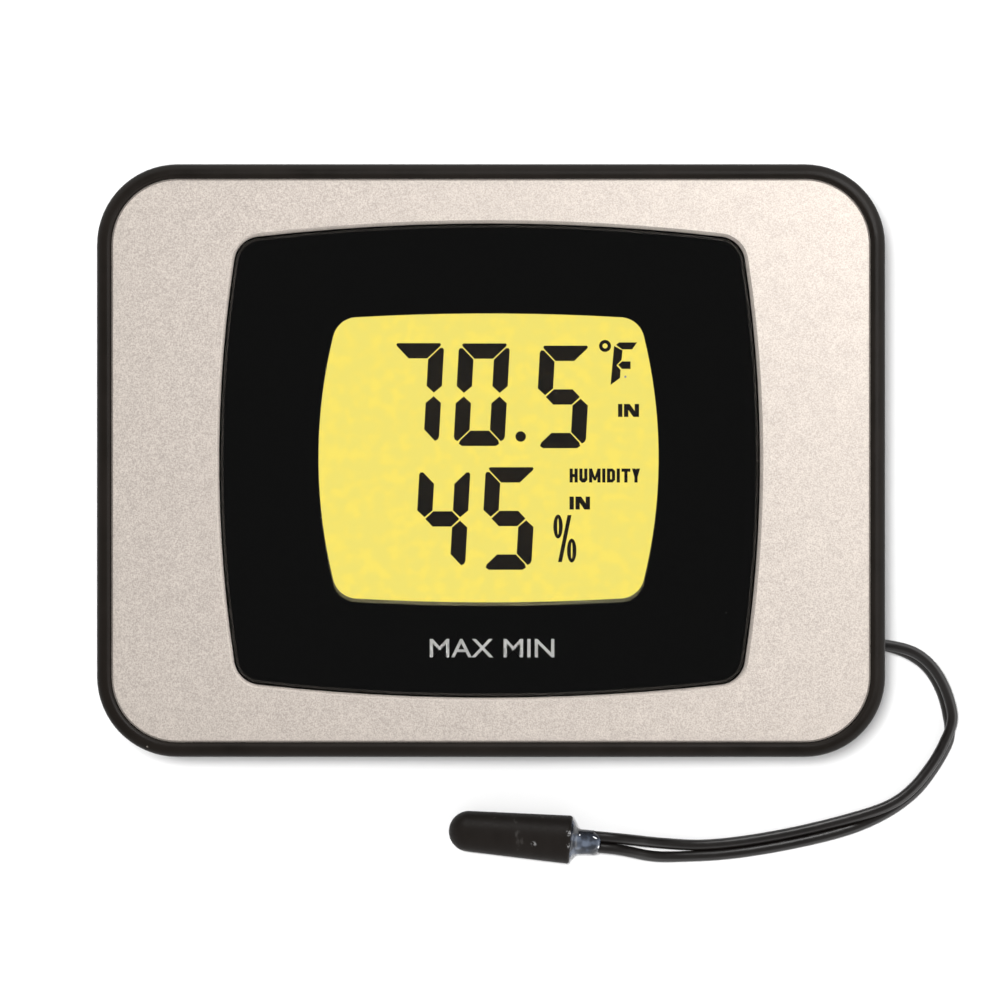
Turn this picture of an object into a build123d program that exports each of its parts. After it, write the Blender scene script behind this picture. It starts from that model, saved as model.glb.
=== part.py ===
from build123d import *
import os
from math import cos, pi, radians, sin, tan

os.makedirs("parts", exist_ok=True)

# Maximum minimum thermometer with a large backlit display, a humidity reading and a wired
# outdoor probe. The unit lies on its back. +Z comes out of the display, +X is the display's
# right, +Y is its top edge. The origin is the middle of the case, on the surface it lies on.
# All sizes are in millimetres and angles in degrees.

# ---- Case -----------------------------------------------------------------------------------
CASE_WIDTH = 111.35
CASE_HEIGHT = 83.75
CASE_DEPTH = 25.0
CASE_CORNER = 11.4
WALL = 2.0                      # side walls, and the bead round the face panel
PARTING_Z = 11.0                # where the front and rear housings meet
FRONT_WALL_Z = 21.0             # inner face of the front wall
BEAD_OUTER_ROUND = 1.4
BEAD_INNER_ROUND = 0.5
CLEARANCE = 0.1                 # all round a part that drops into a pocket
FIT_GAP = 0.05                  # all round a screw in its hole or the gland in the wall

REAR_INSET = 1.5                # rear housing stands back from the front one at the parting line
REAR_DRAFT = 8.0
BACK_WALL = 2.0
BACK_EDGE_ROUND = 1.2
DRAFT_SPREAD = PARTING_Z * tan(radians(REAR_DRAFT))
BACK_WIDTH = CASE_WIDTH - 2 * (REAR_INSET + DRAFT_SPREAD)
BACK_HEIGHT = CASE_HEIGHT - 2 * (REAR_INSET + DRAFT_SPREAD)
BACK_CORNER = CASE_CORNER - REAR_INSET - DRAFT_SPREAD
LIP_HEIGHT = 1.6                # tongue of the rear housing inside the front one
LIP_THICKNESS = 1.2

# ---- Face panel, lens and display window ----------------------------------------------------
PANEL_SEAT_Z = 23.3
PANEL_THICKNESS = 1.2
PANEL_EDGE = 0.25
PANEL_OPENING_EDGE = 0.45
LENS_SEAT_Z = 21.9
LENS_TOP_Z = 24.4
LENS_CENTRE = (-0.2, 0.0)
LENS_WIDTH = 76.2
LENS_HEIGHT = 66.8
LENS_SIDE_BOW = 2.6             # how far each curved side stands out beyond its corners
LENS_END_BOW = 2.2
LENS_CORNER = 3.7
LENS_BEVEL = 0.5
TAPE_THICKNESS = 0.2
MASK_THICKNESS = 0.1

TAPE_INSET = 0.4                # the tape stands back from the lens's edge
TAPE_WINDOW_MARGIN = 2.0
MASK_INSET = 0.05

DISPLAY_CENTRE = (-0.35, 0.39)
WINDOW_WIDTH = 48.2
WINDOW_HEIGHT = 40.95
WINDOW_SIDE_BOW = 2.75
WINDOW_END_BOW = 0.7
WINDOW_CORNER = 3.5
MASK_DROP = 0.45                # the printed window reaches this much lower than the display
FRONT_OPENING_MARGIN = 1.2      # the front wall's opening stands back from the window

# ---- Display stack, from the board forwards -------------------------------------------------
BOARD_BACK_Z = 14.0
BOARD_THICKNESS = 1.6
BOARD_FRONT_Z = BOARD_BACK_Z + BOARD_THICKNESS
BOARD_WIDTH = 84.0
BOARD_HEIGHT = 58.0
GLASS_WIDTH = 52.0
GLASS_HEIGHT = 43.6
GLASS_LEDGE = 3.0               # the front glass reaches this much lower, for its contacts
GLASS_THICKNESS = 1.0
GLASS_RAISE = 0.2               # the glass sits a little high behind the window
GLASS_GAP = 0.2                 # all round the glass in its frame
FILM_THICKNESS = 0.2
FILM_WIDTH = 50.0
FILM_HEIGHT = 42.4
GUIDE_THICKNESS = 2.0
FRAME_WIDTH = 58.0
FRAME_HEIGHT = 52.0
FRAME_CORNER = 1.0
FRAME_LIP = 0.6
FRAME_LIP_INSET = 0.02          # the frame's opening is a touch smaller than the window
ZEBRA_LENGTH = 46.0
ZEBRA_THICKNESS = 2.0
LED_THICKNESS = 1.0
LED_WIDTH = 3.0
LED_HEIGHT = 1.6
LED_PITCH = 18.0
LED_GAP = 0.05                  # between a lamp and the end of the light guide

# ---- What the board carries -----------------------------------------------------------------
BOARD_CORNER = 1.5
CHIP_Y = -18.0
CHIP_RADIUS = 6.0
CHIP_HEIGHT = 1.5
CHIP_ROUND = 1.2
RESISTOR_Y = -26.0
RESISTOR_SIZE = (1.2, 2.0)
RESISTOR_PITCH = 3.2
RESISTOR_COUNT = 8
CAPACITOR_X = 14.0
CAPACITOR_SIZE = (3.2, 1.6)
CAPACITOR_PITCH = 4.0
CAPACITOR_COUNT = 3
COMPONENT_HEIGHT = 0.8
CRYSTAL_X = 20.0
CRYSTAL_START_Y = -14.0
CRYSTAL_RADIUS = 1.0
CRYSTAL_LENGTH = 6.0
SENSOR_X = 37.0
SENSOR_SIZE = (8.0, 6.0)
SENSOR_HEIGHT = 3.4
SENSOR_ABOVE_VENTS = 3.0        # its middle is this much nearer the top edge than the vents'
SENSOR_HOLE_RADIUS = 0.4
SENSOR_HOLE_PITCH = 1.6
SENSOR_HOLE_DEPTH = 1.0
ROOM_BEAD_RADIUS = 1.2
ROOM_BEAD_DROP = 4.0            # from the board's back to the middle of the bead
ROOM_BEAD_BELOW_VENTS = 5.0
ROOM_LEG_RADIUS = 0.25
ROOM_LEG_PITCH = 1.2
ROOM_LEG_OVERLAP = 0.9          # how far the legs run into the bead

# ---- Batteries and their bay ----------------------------------------------------------------
CELL_DIAMETER = 10.5
CELL_LENGTH = 44.5
CELL_NUB_RADIUS = 1.9
CELL_NUB_HEIGHT = 0.8
CELL_PITCH = 10.9
CELL_Z = 7.25
BAY_CENTRE_Y = 10.0
BAY_LENGTH = 50.6
BAY_WIDTH = 22.8
BAY_ROOF_Z = 12.7
BAY_ROOF_THICKNESS = 1.1
BAY_MARGIN = 3.1                # thickness of the bay's walls, which carry the door's ledge
CONTACT_THICKNESS = 0.4
CONTACT_WIDTH = 8.0
CONTACT_CORNER = 0.8
TAB_WIDTH = 3.0                 # the strip that joins a left-hand contact to the board
TAB_GAP = 0.2
CELL_EDGE_ROUND = 0.5
SPRING_BASE_RADIUS = 3.9
SPRING_END_RADIUS = 3.0
SPRING_THICKNESS = 0.9

DOOR_LENGTH = 54.0
DOOR_WIDTH = 26.0
DOOR_THICKNESS = 1.5
DOOR_OUTER_Z = 0.3
DOOR_LEDGE_Z = 1.9
DOOR_GAP = 0.2
DOOR_CORNER = 0.3
DOOR_PIN_GAP = 0.07
DOOR_PIN_RADIUS = 0.55
DOOR_PIN_LENGTH = 1.0
DOOR_AXIS_Y = BAY_CENTRE_Y + DOOR_WIDTH / 2 - DOOR_THICKNESS / 2
DOOR_AXIS_Z = DOOR_OUTER_Z + DOOR_THICKNESS / 2
DOOR_RIB_FROM_EDGE = 5.0
DOOR_RIB_COUNT = 4
DOOR_RIB_PITCH = 1.8
DOOR_RIB_LENGTH = 14.0
DOOR_RIB_WIDTH = 0.8
DOOR_RIB_DEPTH = 0.4
NAIL_NOTCH_LENGTH = 14.0        # the hollow in the housing at the door's free edge
NAIL_NOTCH_WIDTH = 5.0
NAIL_NOTCH_DEPTH = 1.4

# ---- Folding stand --------------------------------------------------------------------------
STAND_WIDTH = 42.0
STAND_THICKNESS = 2.6
STAND_OUTER_Z = 0.3
STAND_AXIS_Y = -11.0
STAND_AXIS_Z = STAND_OUTER_Z + STAND_THICKNESS / 2
STAND_REACH = 24.6              # from the hinge axis to the foot of the leg
STAND_HEEL = 2.4                # behind the axis: meets the pocket's roof when the stand is open
STAND_OPEN = 42.0
STAND_GAP = 0.3
STAND_PIN_RADIUS = 1.0
STAND_PIN_LENGTH = 1.6
STAND_BLOCK_WIDTH = 49.0
STAND_BLOCK_TOP = 5.8
STAND_BLOCK_WALL = 1.2
STAND_POCKET_CORNER = 0.8
STAND_PIN_GAP = 0.06
STAND_ROOF_GAP = 0.4
STAND_TOP_ROOM = 0.7            # beyond the heel, for its swing
STAND_FOOT_ROOM = 0.6
STAND_HEEL_SPACE = 2.2          # the deeper space reaches this far towards the foot
STAND_FOOT_ROUND = 0.6
STAND_PANEL_WIDTH = 34.0
STAND_PANEL_HEIGHT = 11.0
STAND_PANEL_CORNER = 1.5
STAND_PANEL_DEPTH = 0.5
STAND_PANEL_FROM_AXIS = 8.0
NAIL_SCOOP_RADIUS = 6.0

# ---- Screws, buttons, switch, vents and keyhole ---------------------------------------------
SCREW_X = 46.5
SCREW_Y = 32.5
REAR_BOSS_RADIUS = 3.6
FRONT_BOSS_RADIUS = 3.4
SCREW_SHANK_RADIUS = 1.25
SCREW_HEAD_RADIUS = 2.4
SCREW_HEAD_Z = 1.2
SCREW_SHOULDER_Z = 3.0
SCREW_TIP_Z = 17.0
SCREW_TIP_ROOM = 1.0
SCREW_HEAD_ROUND = 0.5
SCREW_HEAD_GAP = 0.3
SCREW_SHANK_GAP = 0.2
CROSS_LENGTH = 2.8
CROSS_WIDTH = 0.6
CROSS_DEPTH = 1.0
BOARD_SCREW_X = 38.0
BOARD_SCREW_Y = 25.5
BOARD_BOSS_RADIUS = 2.4
BOARD_SCREW_RADIUS = 0.95
BOARD_SCREW_GAP = 0.3           # in the board's own holes
BOARD_SCREW_HEAD_RADIUS = 1.9
BOARD_SCREW_HEAD_HEIGHT = 1.3
BOARD_SCREW_GRIP = 3.8          # length in the boss beyond the board
BOARD_SCREW_HOLE_DEPTH = 4.4
BOARD_CROSS_LENGTH = 2.2
BOARD_CROSS_WIDTH = 0.5
BOARD_CROSS_DEPTH = 0.7

BUTTON_X = -36.5
BUTTONS = {"light": 15.0, "channel": 5.0, "max_min": -5.0, "reset": -15.0}
BUTTON_RADIUS = 3.5
BUTTON_OUTER_Z = 0.5
BUTTON_FLANGE_RADIUS = 4.4
BUTTON_FLANGE_Z = 2.1
BUTTON_FLANGE_THICKNESS = 0.8
BUTTON_EDGE_ROUND = 0.4
BUTTON_STEM_RADIUS = 1.6
BUTTON_GAP = 0.15
BUTTON_DISH_RADIUS = 4.7
BUTTON_DISH_DEPTH = 0.35
FINGER_BALL_RADIUS = 12.0       # the ball that dishes a button's face
FINGER_DISH_DEPTH = 0.4
SWITCH_SIZE = 6.0
SWITCH_BODY_Z = 10.5
SWITCH_WELL_DEPTH = 1.2
PLUNGER_Z = 9.0
PLUNGER_RADIUS = 1.7
PLUNGER_GAP = 0.1
PLUNGER_SINK = 0.4              # how far a plunger stands in its switch's well

SLIDER_CENTRE = (36.5, -10.0)
SLIDER_TRAVEL = 2.0
SLIDER_KNOB = (3.0, 2.6)
SLIDER_STEM = (1.6, 1.4)
SLIDER_BODY_Z = 10.4
SLIDER_BODY = (8.6, 4.4)
SLIDER_SLOT_ROOM = (0.6, 0.4)   # beyond the knob and its travel, along and across
SLIDER_WELL_ROOM = 0.4
SLIDER_WELL_DEPTH = 1.6
SLIDER_SINK = 1.4
SLIDER_KNOB_DEPTH = 4.0
SLIDER_KNOB_CORNER = 0.3
SLIDER_GROOVE_WIDTH = 0.3
SLIDER_GROOVE_PITCH = 0.9

VENT_COUNT = 5
VENT_FIRST_X = 33.0
VENT_PITCH = 3.2
VENT_LENGTH = 16.0
VENT_WIDTH = 1.6
VENT_Y = 14.0

KEYHOLE_ENTRY_Y = 29.6
KEYHOLE_ENTRY_RADIUS = 4.0
KEYHOLE_SLOT_Y = 33.0
KEYHOLE_SLOT_RADIUS = 2.0
KEYHOLE_POCKET_TOP = 6.4
KEYHOLE_WALL = 1.2
KEYHOLE_HEAD_ROOM = 0.6         # beside the entry, inside the pocket

# ---- Probe and its cord ---------------------------------------------------------------------
CORD_DIAMETER = 2.7             # a flat twin lead, two conductors side by side
# From the gland in the right-hand wall, down to the surface, round and back to the probe.
CORD_ROUTE = [
    (54.8, -26.2, 5.2),
    (59.1, -26.2, 5.2),
    (63.4, -28.3, 4.4),
    (66.2, -32.7, 2.8),
    (67.2, -38.1, 1.7),
    (65.0, -43.4, 1.4),
    (60.4, -48.8, 1.4),
    (54.0, -52.1, 1.4),
    (43.0, -54.8, 1.4),
    (31.5, -56.5, 1.4),
    (24.2, -56.4, 1.9),
    (19.1, -55.26, 3.8),
    (14.7, -54.9, 3.64),
]
GLAND_X = 49.0                  # inner end of the gland
GLAND_FLANGE_X = 50.2
GLAND_COLLAR_X = 53.85
GLAND_FLANGE_RADIUS = 3.0
GLAND_NECK_RADIUS = 2.2
GLAND_COLLAR_RADIUS = 2.6
GLAND_TIP_RADIUS = 2.0

PROBE_LENGTH = 17.7
PROBE_MOUTH_RADIUS = 3.5
PROBE_TIP_RADIUS = 2.95
PROBE_MOUTH_ROUND = 0.4
PROBE_WALL = 0.55
PROBE_NECK = 3.2                # glue standing out of the cap's mouth round the cord
PROBE_NECK_RADIUS = 1.65
PROBE_FILL_GAP = 0.05
BEAD_RADIUS = 1.1
BEAD_FROM_TIP = 5.0
BEAD_LEG_RADIUS = 0.45
BEAD_LEG_LENGTH = 6.0


def bowed_outline(width, height, side_bow, end_bow, corner):
    """A rounded rectangle whose four sides are shallow arcs, width by height at their middles."""
    corner_x = width / 2 - side_bow
    corner_y = height / 2 - end_bow
    with BuildSketch(mode=Mode.PRIVATE) as outline:
        with BuildLine():
            ThreePointArc((corner_x, -corner_y), (width / 2, 0), (corner_x, corner_y))
            ThreePointArc((corner_x, corner_y), (0, height / 2), (-corner_x, corner_y))
            ThreePointArc((-corner_x, corner_y), (-width / 2, 0), (-corner_x, -corner_y))
            ThreePointArc((-corner_x, -corner_y), (0, -height / 2), (corner_x, -corner_y))
        make_face()
        fillet(outline.vertices(), corner)
    return outline.sketch


def lens_outline(grow=0.0):
    """The lens seen from the front, grown by an even margin."""
    width = LENS_WIDTH + 2 * grow
    height = LENS_HEIGHT + 2 * grow
    return bowed_outline(width, height, LENS_SIDE_BOW, LENS_END_BOW, LENS_CORNER + grow)


def window_outline(grow=0.0):
    """The lit part of the display seen from the front, grown by an even margin."""
    width = WINDOW_WIDTH + 2 * grow
    height = WINDOW_HEIGHT + 2 * grow
    return bowed_outline(width, height, WINDOW_SIDE_BOW, WINDOW_END_BOW, WINDOW_CORNER + grow)


def fillet_radii(points):
    """The largest easy arc at each inner corner of a route, from its shorter run and its turn."""
    radii = []
    for before, corner, after in zip(points, points[1:], points[2:]):
        run_in = Vector(*corner) - Vector(*before)
        run_out = Vector(*after) - Vector(*corner)
        half_turn = radians(run_in.get_angle(run_out)) / 2
        radii.append(0.45 * min(run_in.length, run_out.length) / tan(half_turn))
    return radii


# =============================================================================================
# Housings
# =============================================================================================
case_corners = [(x, y) for x in (-SCREW_X, SCREW_X) for y in (-SCREW_Y, SCREW_Y)]
board_corners = [
    (x, y) for x in (-BOARD_SCREW_X, BOARD_SCREW_X) for y in (-BOARD_SCREW_Y, BOARD_SCREW_Y)
]

# Front housing: a tray with a bead round its face, a recess for the panel, a pocket for the lens
# and, behind its front wall, the bosses for the case screws and the board screws.
with BuildPart() as front_housing:
    with BuildSketch(Plane.XY.offset(PARTING_Z)):
        RectangleRounded(CASE_WIDTH, CASE_HEIGHT, CASE_CORNER)
    extrude(amount=CASE_DEPTH - PARTING_Z)
    fillet(front_housing.faces().sort_by(Axis.Z)[-1].edges(), BEAD_OUTER_ROUND)
    with BuildSketch(Plane.XY.offset(PANEL_SEAT_Z)):
        RectangleRounded(CASE_WIDTH - 2 * WALL, CASE_HEIGHT - 2 * WALL, CASE_CORNER - WALL)
    extrude(amount=CASE_DEPTH - PANEL_SEAT_Z, mode=Mode.SUBTRACT)
    bead_top = front_housing.faces().sort_by(Axis.Z)[-1]
    fillet(bead_top.inner_wires()[0].edges(), BEAD_INNER_ROUND)
    with BuildSketch(Plane.XY.offset(PARTING_Z)):
        RectangleRounded(CASE_WIDTH - 2 * WALL, CASE_HEIGHT - 2 * WALL, CASE_CORNER - WALL)
    extrude(amount=FRONT_WALL_Z - PARTING_Z, mode=Mode.SUBTRACT)
    with BuildSketch(Plane.XY.offset(LENS_SEAT_Z)):
        with Locations(LENS_CENTRE):
            add(lens_outline(CLEARANCE))
    extrude(amount=PANEL_SEAT_Z - LENS_SEAT_Z, mode=Mode.SUBTRACT)
    with BuildSketch(Plane.XY.offset(FRONT_WALL_Z)):
        with Locations(DISPLAY_CENTRE):
            add(window_outline(FRONT_OPENING_MARGIN))
    extrude(amount=LENS_SEAT_Z - FRONT_WALL_Z, mode=Mode.SUBTRACT)
    with BuildSketch(Plane.XY.offset(PARTING_Z)):
        with Locations(case_corners):
            Circle(FRONT_BOSS_RADIUS)
    extrude(amount=FRONT_WALL_Z - PARTING_Z)
    with BuildSketch(Plane.XY.offset(BOARD_FRONT_Z)):
        with Locations(board_corners):
            Circle(BOARD_BOSS_RADIUS)
    extrude(amount=FRONT_WALL_Z - BOARD_FRONT_Z)
    with BuildSketch(Plane.XY.offset(PARTING_Z)):
        with Locations(case_corners):
            Circle(SCREW_SHANK_RADIUS + FIT_GAP)
    extrude(amount=SCREW_TIP_Z + SCREW_TIP_ROOM - PARTING_Z, mode=Mode.SUBTRACT)
    with BuildSketch(Plane.XY.offset(BOARD_FRONT_Z)):
        with Locations(board_corners):
            Circle(BOARD_SCREW_RADIUS + FIT_GAP)
    extrude(amount=BOARD_SCREW_HOLE_DEPTH, mode=Mode.SUBTRACT)
front_housing.part.label = "front_housing"
export_step(front_housing.part, "parts/front_housing.step")

# Rear housing: a drafted shell with the battery bay, the stand's pocket, the keyhole's pocket and
# the screw bosses standing on its back wall.
STAND_POCKET_TOP_Y = STAND_AXIS_Y + STAND_HEEL + STAND_TOP_ROOM
STAND_POCKET_END_Y = STAND_AXIS_Y - STAND_REACH - STAND_FOOT_ROOM
HEEL_ROOF_Z = (
    STAND_AXIS_Z
    + STAND_HEEL * sin(radians(STAND_OPEN))
    + STAND_THICKNESS / 2 * cos(radians(STAND_OPEN))
    + FIT_GAP
)
with BuildPart() as rear_housing:
    with BuildSketch():
        RectangleRounded(BACK_WIDTH, BACK_HEIGHT, BACK_CORNER)
    extrude(amount=PARTING_Z, taper=-REAR_DRAFT)
    fillet(rear_housing.faces().sort_by(Axis.Z)[0].edges(), BACK_EDGE_ROUND)
    inner_spread = BACK_WALL * tan(radians(REAR_DRAFT))
    with BuildSketch(Plane.XY.offset(BACK_WALL)):
        RectangleRounded(
            BACK_WIDTH + 2 * (inner_spread - WALL),
            BACK_HEIGHT + 2 * (inner_spread - WALL),
            BACK_CORNER + inner_spread - WALL,
        )
    extrude(amount=PARTING_Z - BACK_WALL, taper=-REAR_DRAFT, mode=Mode.SUBTRACT)
    # The tongue round the parting line.
    lip_inset = WALL + CLEARANCE
    with BuildSketch(Plane.XY.offset(PARTING_Z)):
        RectangleRounded(
            CASE_WIDTH - 2 * lip_inset, CASE_HEIGHT - 2 * lip_inset, CASE_CORNER - lip_inset
        )
        offset(amount=-LIP_THICKNESS, mode=Mode.SUBTRACT)
    extrude(amount=LIP_HEIGHT)
    # Screw bosses.
    with BuildSketch():
        with Locations(case_corners):
            Circle(REAR_BOSS_RADIUS)
    extrude(amount=PARTING_Z)
    # Solid blocks that the bay, the stand's pocket and the keyhole's pocket are cut from.
    with BuildSketch():
        with Locations((0, BAY_CENTRE_Y)):
            Rectangle(BAY_LENGTH + 2 * BAY_MARGIN, BAY_WIDTH + 2 * BAY_MARGIN)
    extrude(amount=BAY_ROOF_Z + BAY_ROOF_THICKNESS)
    stand_block_top_y = BAY_CENTRE_Y - BAY_WIDTH / 2 - BAY_MARGIN
    stand_block_end_y = STAND_POCKET_END_Y - STAND_BLOCK_WALL
    with BuildSketch():
        with Locations((0, (stand_block_top_y + stand_block_end_y) / 2)):
            Rectangle(STAND_BLOCK_WIDTH, stand_block_top_y - stand_block_end_y)
    extrude(amount=STAND_BLOCK_TOP)
    keyhole_half_width = KEYHOLE_ENTRY_RADIUS + KEYHOLE_HEAD_ROOM
    keyhole_end_y = BACK_HEIGHT / 2 - WALL + inner_spread
    bay_top_y = BAY_CENTRE_Y + BAY_WIDTH / 2 + BAY_MARGIN
    with BuildSketch():
        with Locations((0, (bay_top_y + keyhole_end_y) / 2)):
            Rectangle(2 * (keyhole_half_width + KEYHOLE_WALL), keyhole_end_y - bay_top_y)
    extrude(amount=KEYHOLE_POCKET_TOP + KEYHOLE_WALL)

    # Battery bay, the door's recess and hinge sockets, a slot for each contact's tab and a notch
    # for a fingernail at the door's free edge.
    with BuildSketch(Plane.XY.offset(DOOR_LEDGE_Z)):
        with Locations((0, BAY_CENTRE_Y)):
            Rectangle(BAY_LENGTH, BAY_WIDTH)
    extrude(amount=BAY_ROOF_Z - DOOR_LEDGE_Z, mode=Mode.SUBTRACT)
    with BuildSketch():
        with Locations((0, BAY_CENTRE_Y)):
            RectangleRounded(DOOR_LENGTH + 2 * DOOR_GAP, DOOR_WIDTH + 2 * DOOR_GAP, DOOR_CORNER)
    extrude(amount=DOOR_LEDGE_Z, mode=Mode.SUBTRACT)
    with BuildSketch(Plane.YZ.offset(-DOOR_LENGTH / 2 - DOOR_PIN_LENGTH - DOOR_GAP)):
        with Locations((DOOR_AXIS_Y, DOOR_AXIS_Z)):
            Circle(DOOR_PIN_RADIUS + DOOR_PIN_GAP)
    extrude(amount=DOOR_LENGTH + 2 * (DOOR_PIN_LENGTH + DOOR_GAP), mode=Mode.SUBTRACT)
    tab_slot_x = -BAY_LENGTH / 2 + CONTACT_THICKNESS / 2
    tab_slots = [(tab_slot_x, BAY_CENTRE_Y + side * CELL_PITCH / 2) for side in (-1, 1)]
    with BuildSketch(Plane.XY.offset(BAY_ROOF_Z)):
        with Locations(tab_slots):
            Rectangle(CONTACT_THICKNESS + 2 * TAB_GAP, TAB_WIDTH + 2 * TAB_GAP)
    extrude(amount=BAY_ROOF_THICKNESS, mode=Mode.SUBTRACT)
    with BuildSketch():
        with Locations((0, BAY_CENTRE_Y - DOOR_WIDTH / 2 - DOOR_GAP)):
            SlotOverall(NAIL_NOTCH_LENGTH, NAIL_NOTCH_WIDTH)
    extrude(amount=NAIL_NOTCH_DEPTH, mode=Mode.SUBTRACT)

    # The stand's pocket, the deeper space for its heel, and the sockets for its pins.
    pocket_half_width = STAND_WIDTH / 2 + STAND_GAP
    with BuildSketch():
        with Locations((0, (STAND_POCKET_TOP_Y + STAND_POCKET_END_Y) / 2)):
            RectangleRounded(
                2 * pocket_half_width, STAND_POCKET_TOP_Y - STAND_POCKET_END_Y, STAND_POCKET_CORNER
            )
    extrude(amount=STAND_OUTER_Z + STAND_THICKNESS + STAND_ROOF_GAP, mode=Mode.SUBTRACT)
    heel_space_end_y = STAND_AXIS_Y - STAND_HEEL_SPACE
    with BuildSketch():
        with Locations((0, (STAND_POCKET_TOP_Y + heel_space_end_y) / 2)):
            Rectangle(2 * pocket_half_width, STAND_POCKET_TOP_Y - heel_space_end_y)
    extrude(amount=HEEL_ROOF_Z, mode=Mode.SUBTRACT)
    socket_reach = pocket_half_width + STAND_PIN_LENGTH
    with BuildSketch(Plane.YZ.offset(-socket_reach)):
        with Locations((STAND_AXIS_Y, STAND_AXIS_Z)):
            Circle(STAND_PIN_RADIUS + STAND_PIN_GAP)
    extrude(amount=2 * socket_reach, mode=Mode.SUBTRACT)

    # Keyhole and the pocket behind it that a screw's head slides up into.
    pocket_start_y = bay_top_y + KEYHOLE_WALL
    pocket_end_y = keyhole_end_y - CLEARANCE
    with BuildSketch(Plane.XY.offset(BACK_WALL)):
        with Locations((0, (pocket_start_y + pocket_end_y) / 2)):
            Rectangle(2 * keyhole_half_width, pocket_end_y - pocket_start_y)
    extrude(amount=KEYHOLE_POCKET_TOP - BACK_WALL, mode=Mode.SUBTRACT)
    with BuildSketch():
        with Locations((0, KEYHOLE_ENTRY_Y)):
            Circle(KEYHOLE_ENTRY_RADIUS)
        with Locations((0, KEYHOLE_SLOT_Y)):
            Circle(KEYHOLE_SLOT_RADIUS)
        with Locations((0, (KEYHOLE_ENTRY_Y + KEYHOLE_SLOT_Y) / 2)):
            Rectangle(2 * KEYHOLE_SLOT_RADIUS, KEYHOLE_SLOT_Y - KEYHOLE_ENTRY_Y)
    extrude(amount=BACK_WALL, mode=Mode.SUBTRACT)

    # Counterbored screw holes.
    with BuildSketch():
        with Locations(case_corners):
            Circle(SCREW_HEAD_RADIUS + SCREW_HEAD_GAP)
    extrude(amount=SCREW_SHOULDER_Z, mode=Mode.SUBTRACT)
    with BuildSketch():
        with Locations(case_corners):
            Circle(SCREW_SHANK_RADIUS + SCREW_SHANK_GAP)
    extrude(amount=PARTING_Z, mode=Mode.SUBTRACT)

    # Button holes with a shallow dish round each, the slider's slot and the vents.
    button_places = [(BUTTON_X, y) for y in BUTTONS.values()]
    with BuildSketch():
        with Locations(button_places):
            Circle(BUTTON_DISH_RADIUS)
    extrude(amount=BUTTON_DISH_DEPTH, mode=Mode.SUBTRACT)
    with BuildSketch():
        with Locations(button_places):
            Circle(BUTTON_RADIUS + BUTTON_GAP)
        with Locations(SLIDER_CENTRE):
            Rectangle(
                SLIDER_KNOB[0] + SLIDER_TRAVEL + SLIDER_SLOT_ROOM[0],
                SLIDER_KNOB[1] + SLIDER_SLOT_ROOM[1],
            )
        with Locations([(VENT_FIRST_X + i * VENT_PITCH, VENT_Y) for i in range(VENT_COUNT)]):
            SlotOverall(VENT_LENGTH, VENT_WIDTH, rotation=90)
    extrude(amount=BACK_WALL, mode=Mode.SUBTRACT)

    # The hole for the gland in the right-hand wall.
    with BuildSketch(Plane.YZ.offset(GLAND_X)):
        with Locations((CORD_ROUTE[0][1], CORD_ROUTE[0][2])):
            Circle(GLAND_NECK_RADIUS + FIT_GAP)
    extrude(amount=CASE_WIDTH / 2 - GLAND_X, mode=Mode.SUBTRACT)
rear_housing.part.label = "rear_housing"
export_step(rear_housing.part, "parts/rear_housing.step")

# Four self-tapping screws that hold the two housings together, with a cross recess in each head.
with BuildPart() as case_screws:
    with BuildSketch(Plane.XY.offset(SCREW_HEAD_Z)):
        with Locations(case_corners):
            Circle(SCREW_HEAD_RADIUS)
    extrude(amount=SCREW_SHOULDER_Z - SCREW_HEAD_Z)
    fillet(case_screws.faces().group_by(Axis.Z)[0].edges(), SCREW_HEAD_ROUND)
    with BuildSketch(Plane.XY.offset(SCREW_SHOULDER_Z)):
        with Locations(case_corners):
            Circle(SCREW_SHANK_RADIUS)
    extrude(amount=SCREW_TIP_Z - SCREW_SHOULDER_Z)
    with BuildSketch(Plane.XY.offset(SCREW_HEAD_Z)):
        with Locations(case_corners):
            Rectangle(CROSS_LENGTH, CROSS_WIDTH)
            Rectangle(CROSS_WIDTH, CROSS_LENGTH)
    extrude(amount=CROSS_DEPTH, mode=Mode.SUBTRACT)
case_screws.part.label = "case_screws"
export_step(case_screws.part, "parts/case_screws.step")

# =============================================================================================
# Face
# =============================================================================================
with BuildPart() as face_panel:
    with BuildSketch(Plane.XY.offset(PANEL_SEAT_Z)):
        RectangleRounded(
            CASE_WIDTH - 2 * (WALL + CLEARANCE),
            CASE_HEIGHT - 2 * (WALL + CLEARANCE),
            CASE_CORNER - WALL - CLEARANCE,
        )
    extrude(amount=PANEL_THICKNESS)
    chamfer(face_panel.faces().sort_by(Axis.Z)[-1].edges(), PANEL_EDGE)
    with BuildSketch(Plane.XY.offset(PANEL_SEAT_Z)):
        with Locations(LENS_CENTRE):
            add(lens_outline(CLEARANCE))
    extrude(amount=PANEL_THICKNESS, mode=Mode.SUBTRACT)
    panel_face = face_panel.faces().sort_by(Axis.Z)[-1]
    chamfer(panel_face.inner_wires()[0].edges(), PANEL_OPENING_EDGE)
face_panel.part.label = "face_panel"
export_step(face_panel.part, "parts/face_panel.step")

# Adhesive tape frame that holds the lens in its pocket.
with BuildPart() as lens_tape:
    with BuildSketch(Plane.XY.offset(LENS_SEAT_Z)):
        with Locations(LENS_CENTRE):
            add(lens_outline(-TAPE_INSET))
        with Locations(DISPLAY_CENTRE):
            add(window_outline(TAPE_WINDOW_MARGIN), mode=Mode.SUBTRACT)
    extrude(amount=TAPE_THICKNESS)
lens_tape.part.label = "lens_tape"
export_step(lens_tape.part, "parts/lens_tape.step")

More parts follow.
